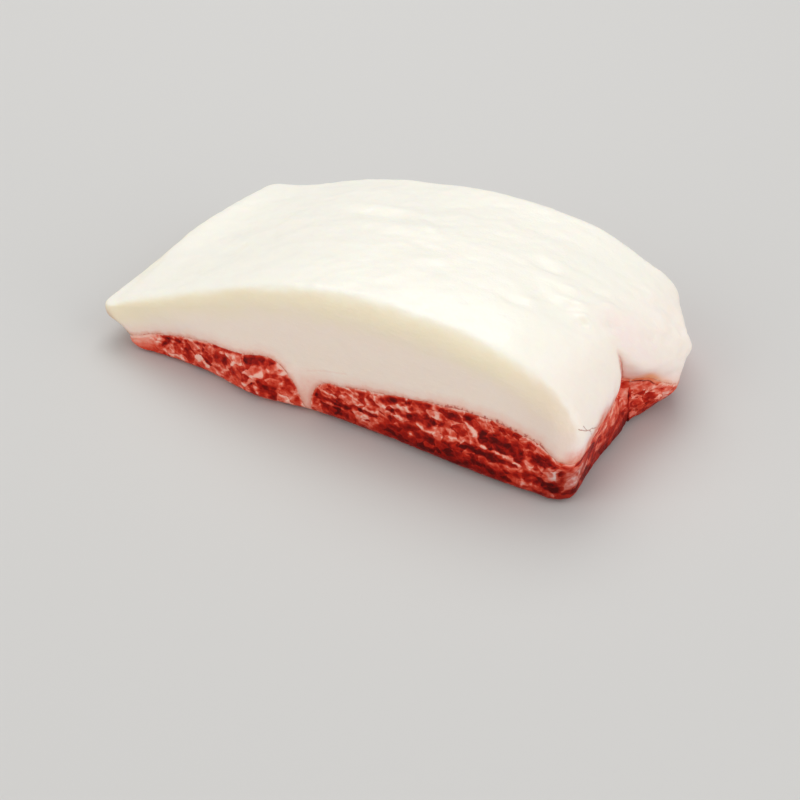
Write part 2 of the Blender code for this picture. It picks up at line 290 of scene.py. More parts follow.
    def cleft_in(self, y: Array, z: Array) -> Array:
        """How deep the cleft and the hollows beside it go into the right end.

        Args:
            y: places behind the front cut.
            z: heights above the foot.

        Returns:
            The depth at each point.
        """
        low, high = self.cleft_rise
        line = self.cleft_y - self.cleft_slant * np.clip((z - low) / (high - low), 0.0, 1.0)
        sharper = ease(*self.crease_rise, z)
        near, far = (lerp(self.cleft_half, crease, sharper) for crease in self.cleft_crease)
        half = np.where(y > line, far, near)
        tip = lerp(*self.cleft_tip, ease(*self.tip_rise, z))
        cleft = self.cleft_depth * cusp(y, line, half, tip)
        cleft = cleft * ease(*self.cleft_foot, z) * (1 - ease(*self.cleft_fade, z))
        centre, reach, depth = self.hollow
        cleft += depth * bell(y, centre, reach) * lerp(self.hollow_least, 1.0, ease(*self.hollow_rise, z))
        centre, reach, depth = self.foot_hollow
        return cleft + depth * bell(y, centre, reach) * (1 - ease(*self.foot_hollow_fade, z))

    def end_in(self, y: Array, z: Array) -> Array:
        """How far the right end stands back: its foot, the cleft and the back corner.

        Args:
            y: places behind the front cut.
            z: heights above the foot.

        Returns:
            The distance to the left of the plain end.
        """
        foot = lerp(self.lean_least, 1.0, ease(*self.lean_along, y))
        foot = foot * self.end_lean * (1 - ease(*self.lean_fade, z))
        corner = self.back_corner[2] * ease(*self.back_corner[:2], y)
        top = self.top_corner * ease(*self.top_corner_up, z) * ease(*self.top_corner_back, y)
        return foot + self.cleft_in(y, z) + corner + top

    def lobe_out(self, y: Array, z: Array) -> Array:
        """How far the lobe behind the cleft stands out.

        Args:
            y: places behind the front cut.
            z: heights above the foot.

        Returns:
            The distance to the right of the plain end.
        """
        centre, reach, height = self.lobe
        out = height * bell(y, centre, reach) * ease(*self.lobe_rise, z) * (1 - ease(*self.lobe_fade, z))
        for cy, ry, cz, rz, rise in self.lobe_swells:
            out = out + rise * bell(y, cy, ry) * bell(z, cz, rz)
        return out

    def carry(self, p: Array) -> Array:
        """Carry points of the plain block to their places on the loin.

        Args:
            p: points of the plain block.

        Returns:
            The same points on the loin.
        """
        q = self.soften(p)
        nose = 1 - ease(self.nose_x, self.nose_x + self.nose_length, q[:, 0])
        x = q[:, 0] - self.nose_round * nose * bell(q[:, 1], *self.nose_middle)
        skew = ease(self.back_y / 2, self.back_y, q[:, 1]) * (1 - ease(self.nose_x, self.skew_end, x))
        y = q[:, 1] - self.back_skew * skew
        z = self.crown(x, y) * q[:, 2] / self.level
        nose = 1 - ease(self.nose_x, self.nose_x + 0.75 * self.nose_length, x)
        x = x + nose * self.undercut(z) * (1 - 0.5 * ease(*self.undercut_back, y))
        x = x + ease(self.end_x - self.end_length, self.end_x, x) * (self.lobe_out(y, z) - self.end_in(y, z))
        front = (1 - ease(self.front_y, self.front_y + self.foot_depth, y)) * (1 - ease(*self.foot_fade, z))
        y = y - front * sum(out * bell(x, cx, reach) for cx, reach, out in self.foot_swells)
        return np.stack([x, y, z], axis=1)

    def rib_top(self, x: Array, y: Array) -> Array:
        """Height of the rib muscle, with the torn edge of its fibres.

        Args:
            x: places along the front cut.
            y: places behind the front cut.

        Returns:
            The height at each point.
        """
        back = ease(*self.muscle_back, y) * (1 - ease(*self.rib_back_fade, x))
        rise, wave = self.rib_wave
        height = through(self.rib_lean, x) * (1 - self.rib_sink * back) + rise * back * np.sin(x / wave)
        torn = self.fray(x, y) * self.rib_fray
        return height + torn * (1 - ease(*self.rib_fray_end, x)) * ease(*self.rib_fray_start, x)

    def eye_top(self, x: Array, y: Array) -> Array:
        """Height of the eye and flap muscles, which share one upper side.

        Args:
            x: places along the front cut.
            y: places behind the front cut.

        Returns:
            The height at each point.
        """
        shoulder = self.eye_start + self.eye_side
        t = np.clip((shoulder - x) / self.eye_side, 0.0, 1.0)
        rounded = self.eye_height * (1 - t**self.eye_power) ** (1 / self.eye_power)
        front = np.where(x < shoulder, rounded, through(self.eye_lean, x))
        back = ease(*self.muscle_back, y) * ease(*self.eye_back_rise, x)
        rise, wave = self.eye_wave
        front = front * (1 - self.eye_sink * back) + rise * back * np.sin(x / wave)
        height = lerp(front, through(self.end_rise, y), ease(*self.end_turn, x))
        torn = self.fray(x, y) * lerp(*self.eye_fray, ease(*self.eye_fray_rise, x))
        return height + torn * ease(*self.eye_fray_start, x)

    @staticmethod
    def fray(x: Array, y: Array) -> Array:
        """Uneven edge between lean and fat, from about -1 to 1.

        Args:
            x: places along the front cut.
            y: places behind the front cut.

        Returns:
            The unevenness at each point.
        """
        long_wave = np.sin(x / 2.3 + 1.1 * np.sin(y / 5.1)) + np.sin(y / 2.6 + 1.3 * np.sin(x / 4.3))
        short_wave = np.sin(x / 0.83 + 2.0 * np.sin(y / 2.9 + x / 6.1)) + np.sin(y / 0.9 + x / 3.7)
        return 0.35 * long_wave + 0.22 * short_wave

    def to_row(self, points: Array) -> Array:
        """Points of the loin's frame in the row frame, in metres."""
        return (points - np.array(self.middle)) * MILLI


FORM = LoinForm()


# ---- closed solids from formulas --------------------------------------------
def stations(low: float, high: float, step: float, zones: tuple[tuple[float, ...], ...] = ()) -> Array:
    """Places from low to high that lie closer in some zones.

    Args:
        low: first place.
        high: last place.
        step: usual distance between places.
        zones: start, end and step of each closer zone.

    Returns:
        The places in rising order.
    """
    places = [low]
    while places[-1] < high - 0.5 * step:
        finer = [fine for start, end, fine in zones if start <= places[-1] < end]
        places.append(places[-1] + min([step, *finer]))
    places[-1] = high
    return np.array(places)


@dataclass
class Lattice:
    """Closed block whose six sides are divided at the stations of each axis."""

    along: Array
    deep: Array
    high: Array

    def surface(self) -> tuple[Array, Array]:
        """Points and outward quads of the six sides, with shared corners.

        Returns:
            The points, and the four corners of each quad.
        """
        axes = (self.along, self.deep, self.high)
        counts = [len(a) for a in axes]
        weight = (counts[1] * counts[2], counts[2], 1)
        quads = []
        for axis in range(3):
            u, v = (axis + 1) % 3, (axis + 2) % 3
            iu, iv = np.meshgrid(np.arange(counts[u] - 1), np.arange(counts[v] - 1), indexing="ij")
            for end in (0, counts[axis] - 1):
                ring = [end * weight[axis] + (iu + du) * weight[u] + (iv + dv) * weight[v]
                        for du, dv in ((0, 0), (1, 0), (1, 1), (0, 1))]
                quads.append(np.stack(ring if end else ring[::-1], axis=-1).reshape(-1, 4))
        used, faces = np.unique(np.concatenate(quads), return_inverse=True)
        index = np.stack([used // weight[0], used // weight[1] % counts[1], used % counts[2]], axis=1)
        points = np.stack([axes[k][index[:, k]] for k in range(3)], axis=1)
        return points, faces.reshape(-1, 4)


def add_object(name: str, data: Any) -> bpy.types.Object:
    """Object that holds the given data, linked to the scene.

    Args:
        name: the object's name.
        data: its mesh, light or camera.

    Returns:
        The new object.
    """
    obj = bpy.data.objects.new(name, data)
    bpy.context.scene.collection.objects.link(obj)
    return obj


def add_mesh(name: str, points: Array, faces: Array) -> bpy.types.Object:
    """Object of the given points and faces, linked to the scene.

    Args:
        name: name of the object and of its mesh.
        points: places of the vertices.
        faces: corners of each face, in order.

    Returns:
        The new object.
    """
    mesh = bpy.data.meshes.new(name)
    mesh.from_pydata(points.tolist(), [], faces.tolist())
    return add_object(name, mesh)


def plain_copy(obj: bpy.types.Object) -> bpy.types.Mesh:
    """Mesh of the object with its modifiers taken in.

    Args:
        obj: the object to copy from.

    Returns:
        A new mesh.
    """
    bpy.context.view_layer.update()
    graph = bpy.context.evaluated_depsgraph_get()
    return bpy.data.meshes.new_from_object(obj.evaluated_get(graph))


def take_in(obj: bpy.types.Object, modifier: bpy.types.Modifier) -> None:
    """Make the result of the modifier the object's own mesh.

    Args:
        obj: the object to change.
        modifier: the modifier, which is removed.
    """
    mesh = plain_copy(obj)
    obj.modifiers.remove(modifier)
    old = obj.data
    obj.data = mesh
    bpy.data.meshes.remove(old)
    mesh.name = obj.name


def read_rows(items: Any, name: str) -> Array:
    """Three numbers of each item of a mesh.

    Args:
        items: the mesh's vertices or their normals.
        name: what is read of each.

    Returns:
        One row for each item.
    """
    flat = np.empty(len(items) * 3, np.float32)
    items.foreach_get(name, flat)
    return flat.reshape(-1, 3).astype(float)


def read_points(mesh: bpy.types.Mesh) -> Array:
    """Places of the mesh's vertices, one row for each."""
    return read_rows(mesh.vertices, "co")


def read_normals(mesh: bpy.types.Mesh) -> Array:
    """Outward directions at the mesh's vertices, one row for each."""
    return read_rows(mesh.vertex_normals, "vector")


def write_points(mesh: bpy.types.Mesh, points: Array) -> None:
    """Move the mesh's vertices to the given places."""
    mesh.vertices.foreach_set("co", points.astype(np.float32).ravel())
    mesh.update()


class Cut(Enum):
    """What a cutter does to a piece."""

    KEEP_INSIDE = "INTERSECT"
    TAKE_AWAY = "DIFFERENCE"


@dataclass(frozen=True)
class Swells:
    """Soft unevenness: its height, how long one swell is along each axis, and its seed."""

    height: float
    size: Triple
    seed: float

    def at(self, points: Array) -> Array:
        """Height of the swells at each point."""
        return self.height * grain(points, self.size, self.seed)


def facing_up(normals: Array) -> Array:
    """How far the surface faces up, from 0 on the sides to 1 on top."""
    return ease(0.25, 0.8, normals[:, 2])


@dataclass
class Carver:
    """Cuts pieces from the whole loin."""

    form: LoinForm
    gap: float = 0.03
    floor_depth: float = -12.0
    rim: float = 12.0
    swells: tuple[Swells, ...] = (Swells(0.42, (15, 12, 12), 3.1), Swells(0.20, (5.5, 4.5, 4.5), 8.7))
    side_share: float = 0.35
    foot_fade: Span = (0.5, 6.0)
    wall_box: tuple[Span, ...] = ((-60.0, 160.0), (0.0, 160.0), (-20.0, 80.0))
    weld: float = 0.004
    level_normal: float = 0.99999
    level_height: float = 0.003

    def whole(self, name: str, lattice: Lattice) -> bpy.types.Object:
        """The whole loin at the fineness of the lattice, with its soft unevenness.

        Args:
            name: the object's name.
            lattice: stations of the block.

        Returns:
            A closed object.
        """
        points, faces = lattice.surface()
        obj = add_mesh(name, self.form.carry(points), faces)
        points, normals = read_points(obj.data), read_normals(obj.data)
        share = lerp(self.side_share, 1.0, facing_up(normals)) * ease(*self.foot_fade, points[:, 2])
        lift = np.zeros(len(points))
        free = share > 0
        for swells in self.swells:
            lift[free] += swells.at(points[free])
        write_points(obj.data, points + normals * (lift * share)[:, None])
        return obj

    def envelope(self, name: str, top: Callable[[Array, Array], Array], along: Array,
                 deep: Array, lift: float) -> bpy.types.Object:
        """Block whose upper side is that of a muscle.

        Args:
            name: the block's name.
            top: height of the muscle over x, y.
            along: stations along x.
            deep: stations along y.
            lift: how far the upper side stands out from the muscle's own.

        Returns:
            A closed object, wider than the loin except on top.
        """
        points, quads = Lattice(along, deep, np.array((self.floor_depth, 0.0))).surface()
        x, y = points[:, 0], points[:, 1]
        step = 0.05
        slope = np.stack([-(top(x + step, y) - top(x - step, y)) / (2 * step),
                          -(top(x, y + step) - top(x, y - step)) / (2 * step), np.ones_like(x)], axis=1)
        out = slope / np.linalg.norm(slope, axis=1)[:, None]
        upper = np.stack([x, y, top(x, y)], axis=1) + lift * out
        lower = np.stack([upper[:, 0], y, np.full_like(x, self.floor_depth)], axis=1)
        placed = np.where((points[:, 2] > self.floor_depth / 2)[:, None], upper, lower)
        halves = np.concatenate([quads[:, (0, 1, 2)], quads[:, (0, 2, 3)]])
        return add_mesh(name, placed, halves)

    def flap_block(self, name: str, shift: float) -> bpy.types.Object:
        """Upright block on the flap side of the line that parts eye and flap.

        Args:
            name: the block's name.
            shift: how far it stands off the line.

        Returns:
            A closed object.
        """
        a, b = (Vector(p) for p in self.form.flap_wall)
        along = (b - a).normalized()
        out = Vector((along.y, -along.x))
        points, quads = Lattice(*(np.array(ends) for ends in self.wall_box)).surface()
        flat = [a + along * p[0] + out * (p[1] + shift) for p in points]
        return add_mesh(name, np.array([(f.x, f.y, p[2]) for f, p in zip(flat, points)]), quads)

    def cut(self, piece: bpy.types.Object, cutter: bpy.types.Object, kind: Cut) -> None:
        """Cut the piece with the cutter, which stays as it is.

        Args:
            piece: the object that is cut.
            cutter: the closed object it is cut with.
            kind: what is kept.
        """
        modifier = piece.modifiers.new("cut", "BOOLEAN")
        modifier.operation = kind.value
        modifier.solver = "MANIFOLD"
        modifier.object = cutter
        take_in(piece, modifier)

    @staticmethod
    def twin(obj: bpy.types.Object, name: str) -> bpy.types.Object:
        """Copy of the object with its own mesh."""
        return add_object(name, obj.data.copy())

    def clean(self, obj: bpy.types.Object) -> None:
        """Merge doubled points and join the flat faces that lie on the floor.

        Args:
            obj: the cut piece.
        """
        bm = bmesh.new()
        bm.from_mesh(obj.data)
        bmesh.ops.remove_doubles(bm, verts=bm.verts[:], dist=self.weld)
        bm.normal_update()
        flat = [edge for edge in bm.edges if len(edge.link_faces) == 2
                and all(abs(face.normal.z) > self.level_normal
                        and face.calc_center_median().z < self.level_height for face in edge.link_faces)]
        bmesh.ops.dissolve_edges(bm, edges=flat, use_verts=True, use_face_split=False)
        bm.to_mesh(obj.data)
        bm.free()


# ---- strokes of tissue -------------------------------------------------------
@dataclass(frozen=True)
class Streak:
    """Bent band of tissue seen in a cut face: its ends, half width, strength and bend."""

    start: Span
    end: Span
    width: float
    strength: float
    bend: float = 0.0

    def cover(self, u: Array, v: Array) -> Array:
        """How much of the band lies over each point u, v, from 0 to 1.

        Args:
            u: places along the cut face.
            v: heights on it.

        Returns:
            The cover at each point.
        """
        a, b = np.array(self.start), np.array(self.end)
        along = b - a
        length = float(np.hypot(*along)) or 1e-6
        along = along / length
        s = (u - a[0]) * along[0] + (v - a[1]) * along[1]
        t = np.clip(s / length, 0.0, 1.0)
        side = (v - a[1]) * along[0] - (u - a[0]) * along[1] - self.bend * 4 * t * (1 - t)
        reach = np.hypot(side, s - t * length)
        return self.strength * (1 - ease(0.2, 1.6, reach / (self.width * (0.9 + 1.6 * t * (1 - t)))))


def strokes(*rows: tuple[float, ...]) -> tuple[Streak, ...]:
    """Streaks from rows of start, end, half width, strength and, where one has it, bend."""
    return tuple(Streak(row[:2], row[2:4], *row[4:]) for row in rows)


def covered(streaks: tuple[Streak, ...], u: Array, v: Array) -> Array:
    """Strongest cover of all the streaks at each point.

    Args:
        streaks: the bands.
        u: places along the cut face.
        v: heights on it.

    Returns:
        The cover at each point.
    """
    found = np.zeros_like(u)
    for streak in streaks:
        found = np.maximum(found, streak.cover(u, v))
    return found


@dataclass(frozen=True)
class Marbling:
    """Pale and dark tissue of the cut faces, in millimetres."""

    front_pale: tuple[Streak, ...] = strokes(
        # front cut: the rib's pale tip, slanting seam and upright veins
        (-141, 4.5, -125, 8.2, 3.0, 0.84), (-140, 2.6, -127, 4.6, 1.9, 0.62),
        (-59.5, 19.0, -77, 6.2, 1.35, 1.0, -0.9), (-67, 14.2, -57.5, 16.2, 0.9, 0.75),
        (-116.6, 11.6, -117.6, 5.0, 0.9, 0.75), (-110.4, 13.4, -112.6, 6.0, 0.8, 0.7),
        (-103, 15.3, -101.4, 7.5, 0.6, 0.5), (-101, 6.6, -98, 5.2, 1.2, 0.9),
        (-83.6, 13.4, -90.5, 6.0, 0.9, 0.8, 0.5), (-79.2, 18.3, -78.2, 14.5, 0.8, 0.7),
        (-94.6, 17, -95.6, 11, 0.6, 0.5), (-88.5, 15.0, -84.5, 13.4, 0.6, 0.5),
        (-72.2, 9.6, -70.6, 4.8, 0.9, 0.85), (-62.5, 7.5, -58.2, 13.4, 0.7, 0.6),
        (-57.2, 4.8, -54.2, 8.8, 0.8, 0.65), (-107.5, 8.6, -103.2, 6.0, 0.8, 0.6),
        (-98, 3.9, -82, 3.0, 0.8, 0.55), (-125, 5.0, -112, 3.6, 0.9, 0.6),
        # the eye's finger at the left, its long seams and upright veins
        (-42.3, 13.7, -28.8, 12.8, 1.6, 0.72, 0.5), (-29, 12.8, -16.5, 12.5, 1.0, 0.55, -0.3),
        (-17.6, 12.4, -15.6, 13.4, 1.2, 0.75), (-15.6, 15.5, -4.6, 18.9, 0.75, 0.75),
        (-15.6, 14.6, -1.5, 13.0, 0.8, 0.6), (-2, 13.1, 10.5, 12.8, 0.9, 0.66),
        (13.6, 12.6, 19.6, 13.6, 1.3, 0.8), (20, 14.8, 33.2, 14.4, 0.8, 0.9, 0.4),
        (33, 14.4, 45.6, 12.6, 0.75, 0.95, 0.5), (20.8, 22.4, 28.6, 15.4, 0.95, 0.8, 0.6),
        (8.2, 23.8, 8.8, 18.4, 1.3, 0.66, 0.4), (-4.4, 23.4, -3.6, 18.6, 0.95, 0.8),
        (-18.8, 19.2, -15.6, 15.6, 0.55, 0.7), (-26.7, 19.0, -26.2, 15.6, 0.75, 0.7),
        (-22.0, 19.6, -21.4, 14.5, 0.4, 0.5), (-28.4, 9.1, -16.8, 7.7, 0.8, 0.55),
        (-41.6, 8.2, -32.6, 9.0, 0.8, 0.55), (-1.8, 10.2, -2.2, 6.2, 0.7, 0.45),
        (46.0, 11.4, 46.6, 3.6, 1.0, 0.6, 0.5), (46.4, 12.0, 60.4, 15.0, 1.0, 0.66, -0.3),
        (56.0, 12.0, 64.0, 13.2, 2.9, 0.76), (50.0, 6.0, 54.6, 4.4, 1.5, 0.4),
        (-3.6, 19.4, 3.6, 20.4, 0.65, 0.6), (30.2, 25.7, 33.4, 22.2, 0.35, 0.55),
        (35.2, 25.0, 38.6, 21.8, 0.35, 0.55), (25.6, 25.8, 27.6, 23.2, 0.35, 0.5),
        (13.6, 20.6, 19.8, 16.6, 0.6, 0.55), (40.4, 23.8, 45.4, 20.6, 0.4, 0.5),
        (17.6, 25.0, 20.6, 22.2, 0.4, 0.5), (-10.6, 17.0, -9.6, 13.6, 0.5, 0.4),
        (48.6, 21.2, 55.4, 18.8, 0.5, 0.5), (54.6, 4.4, 60.8, 4.0, 1.3, 0.55), (23, 9.6, 31, 8.6, 0.5, 0.4))
    front_dark: tuple[Streak, ...] = strokes(
        # front cut: dark bundles of the rib muscle
        (-122.4, 6.6, -119.2, 10.4, 1.4, 0.8), (-109, 13, -106.6, 8.6, 1.9, 0.45),
        (-93.4, 16.6, -80.6, 17.4, 1.1, 0.8), (-77.0, 16.7, -69.8, 18.4, 1.9, 1.0),
        (-96.6, 8.6, -92, 13.2, 1.9, 0.45), (-88.6, 11.6, -84.2, 8.4, 1.9, 0.5),
        (-75.6, 7.3, -73.4, 8.6, 1.8, 0.9), (-68.4, 7, -62.2, 8.4, 1.8, 0.7),
        (-56.4, 13.4, -53.6, 10.6, 1.7, 0.5), (-54.2, 5.6, -51.6, 8, 1.2, 0.5),
        (-112, 4.6, -90, 3.2, 1.4, 0.35),
        # dark bundles of the eye muscle
        (-44.4, 12.6, -42.0, 9.3, 1.2, 0.8, -0.6), (-42.2, 9.9, -29, 10.1, 0.9, 0.85),
        (-35.4, 17.2, -30.8, 16.8, 1.0, 0.55), (-25.4, 17.4, -22.8, 16.2, 1.5, 0.55),
        (-20.6, 17.4, -18.0, 15.4, 1.5, 0.7), (-14.4, 18.8, -6.4, 22.0, 1.8, 0.8),
        (-8.8, 16.1, -5.0, 15.6, 0.85, 0.8), (-3.8, 15.9, 3.2, 16.4, 1.6, 0.85),
        (4.4, 16.1, 7.6, 16.7, 1.8, 1.0), (10.6, 16.8, 12.6, 18.2, 1.0, 0.65),
        (-1.2, 22.4, 6.4, 22.6, 1.3, 0.5), (30.2, 18.2, 44.0, 15.8, 3.5, 0.95, 0.6),
        (51.6, 16.4, 57.4, 16.3, 2.6, 0.95), (23.2, 23.8, 28.8, 19.8, 2.1, 0.55),
        (20.6, 11.8, 44.2, 11.4, 0.95, 0.9, 0.4), (-28.6, 11.1, -17.6, 10.5, 1.1, 0.8),
        (-42, 7, -31, 6.2, 1.6, 0.8), (-13, 9.6, 16, 9.4, 2.0, 0.55), (-15, 6.2, 38, 6.4, 3.4, 0.6),
        (40.8, 8.0, 44.2, 8.6, 1.5, 0.45), (47.8, 7.8, 53, 8.6, 2.2, 0.65),
        (56.6, 7.6, 62.0, 6.0, 2.1, 1.0), (59.4, 10.0, 61.6, 9.2, 0.6, 0.7),
        (12.4, 20.8, 17.2, 23.4, 1.3, 0.5))
    end_pale: tuple[Streak, ...] = strokes(
        # right end: pale corner, salmon layer under the fat, flesh of the flap
        (-3, 13, 3, 8, 2.8, 0.80), (1, 14.5, 6, 12.5, 1.6, 0.8), (4.5, 11.2, 13.5, 10.6, 1.3, 0.85),
        (6, 8.5, 9, 6.5, 1.0, 0.5), (11, 19.6, 26, 17.8, 1.7, 0.75), (24, 18.0, 38, 15.2, 2.5, 0.8),
        (36, 15.6, 47, 13.4, 2.9, 0.72), (46, 13.6, 54, 12.4, 3.0, 0.66), (22, 14, 30, 10.6, 0.7, 0.4),
        (57.8, 14.6, 60.4, 13.4, 2.2, 0.40), (61.5, 15.6, 66.0, 14.6, 2.4, 0.52),
        (69.8, 13.4, 71.4, 8.6, 1.1, 0.50, 0.4))
    end_dark: tuple[Streak, ...] = strokes(
        # right end: dark layers under the salmon one, hollows of the flap
        (1.5, 16.8, 9, 17.0, 1.0, 0.95), (9, 16.6, 20, 14.6, 1.5, 0.95), (19, 14.4, 32, 10.0, 1.9, 0.95),
        (32, 9.4, 54, 7.2, 1.7, 0.8), (13, 13, 22, 9.8, 2.8, 1.0), (9, 6, 18, 5, 1.9, 0.8),
        (20, 5, 56, 4, 2.8, 0.8), (55.0, 4.4, 59.6, 3.0, 2.2, 1.0), (-1.5, 5.4, 4.4, 4.6, 1.5, 0.95),
        (5.6, 16.6, 9.4, 16.2, 0.5, 0.9), (65.6, 11.6, 68.4, 9.8, 2.0, 0.95),
        (57.6, 9.0, 62.6, 8.4, 1.5, 1.0), (62.0, 6.6, 67.6, 5.8, 1.9, 1.0),
        (61.0, 11.9, 64.6, 12.4, 0.7, 0.8))


# ---- node trees written as expressions ---------------------------------------
Value = Union["Signal", float, int, tuple]


class Signal:
    """A node's output that takes part in arithmetic."""

    def __init__(self, tree: "Tree", socket: bpy.types.NodeSocket) -> None:
        """Wrap the socket of the tree."""
        self.tree = tree
        self.socket = socket

    def math(self, operation: str, *values: Value) -> "Signal":
        """Number worked out by one Math node from the values given."""
        node = self.tree.node("ShaderNodeMath", {"operation": operation}, dict(enumerate(values)))
        return self.tree.out(node)

    def __add__(self, other: Value) -> "Signal":
        """Sum."""
        return self.math("ADD", self, other)

    __radd__ = __add__

    def __sub__(self, other: Value) -> "Signal":
        """Difference."""
        return self.math("SUBTRACT", self, other)

    def __rsub__(self, other: Value) -> "Signal":
        """Difference with this number taken away."""
        return self.math("SUBTRACT", other, self)

    def __mul__(self, other: Value) -> "Signal":
        """Product."""
        return self.math("MULTIPLY", self, other)

    __rmul__ = __mul__

    def most(self, other: Value) -> "Signal":
        """The larger of two numbers."""
        return self.math("MAXIMUM", self, other)

    def clip(self) -> "Signal":
        """The number kept between 0 and 1."""
        return self.math("MINIMUM", self.math("MAXIMUM", self, 0.0), 1.0)

    def rise(self, low: float, high: float) -> "Signal":
        """Smooth rise from 0 at low to 1 at high.

        Args:
            low: where the rise starts.
            high: where it is complete.

        Returns:
            The risen number.
        """
        node = self.tree.node("ShaderNodeMapRange", {"interpolation_type": "SMOOTHSTEP"},
                              {"Value": self, "From Min": low, "From Max": high})
        return self.tree.out(node)

    def fall(self, low: float, high: float) -> "Signal":
        """Smooth fall from 1 at low to 0 at high."""
        return 1.0 - self.rise(low, high)


class Tree:
    """Writes the nodes of a material or of a geometry tree."""

    def __init__(self, tree: bpy.types.NodeTree) -> None:
        """Start on the given node tree."""
        self.tree = tree

    def node(self, kind: str, settings: dict[str, Any] | None = None,
             values: dict[Any, Value] | None = None) -> bpy.types.Node:
        """Make one node.

        Args:
            kind: the node's type.
            settings: properties set before anything else.
            values: values or links of its inputs, by name or number.

        Returns:
            The new node.
        """
        node = self.tree.nodes.new(kind)
        for key, value in (settings or {}).items():
            setattr(node, key, value)
        for key, value in (values or {}).items():
            if isinstance(value, Signal):
                self.tree.links.new(value.socket, node.inputs[key])
            else:
                node.inputs[key].default_value = value
        return node

    def out(self, node: bpy.types.Node, name: Any = 0) -> Signal:
        """One output of a node."""
        return Signal(self, node.outputs[name])

    def vector(self, operation: str, *values: Value, name: Any = 0) -> Signal:
        """Result of one Vector Math node."""
        node = self.node("ShaderNodeVectorMath", {"operation": operation}, dict(enumerate(values)))
        return self.out(node, name)

    def scaled(self, vector: Value, factor: Value) -> Signal:
        """Vector times a number."""
        node = self.node("ShaderNodeVectorMath", {"operation": "SCALE"}, {0: vector, "Scale": factor})
        return self.out(node)

    def mix(self, factor: Value, a: Value, b: Value) -> Signal:
        """Colour the part factor of the way from a to b."""
        node = self.node("ShaderNodeMix", {"data_type": "RGBA"}, {0: factor, 6: a, 7: b})
        return self.out(node, 2)

    def noise(self, place: Value, size: Triple, detail: float = 2.0, seed: float = 0.0,
              rough: float = 0.5) -> Signal:
        """Smooth noise around 0.5 whose swells have the given size in millimetres.

        Args:
            place: point of the piece in millimetres.
            size: how long one swell is along each axis.
            detail: number of finer layers.
            seed: shifts the pattern.
            rough: weight of the finer layers.

        Returns:
            The noise.
        """
        moved = self.vector("MULTIPLY", place, tuple(1.0 / s for s in size))
        moved = self.vector("ADD", moved, (seed, 0.7 * seed, 1.3 * seed))
        node = self.node("ShaderNodeTexNoise", {"noise_dimensions": "3D"},
                         {"Vector": moved, "Scale": 1.0, "Detail": detail, "Roughness": rough})
        return self.out(node, 0)

    def cells(self, place: Value, size: Triple, feature: str, name: str) -> Signal:
        """Voronoi cells of the given size in millimetres: one output of one feature.

        Args:
            place: point of the piece in millimetres.
            size: how long one cell is along each axis.
            feature: what is measured.
            name: the output that is wanted.

        Returns:
            That output.
        """
        moved = self.vector("MULTIPLY", place, tuple(1.0 / s for s in size))
        node = self.node("ShaderNodeTexVoronoi", {"voronoi_dimensions": "3D", "feature": feature},
                         {"Vector": moved, "Scale": 1.0})
        return self.out(node, name)


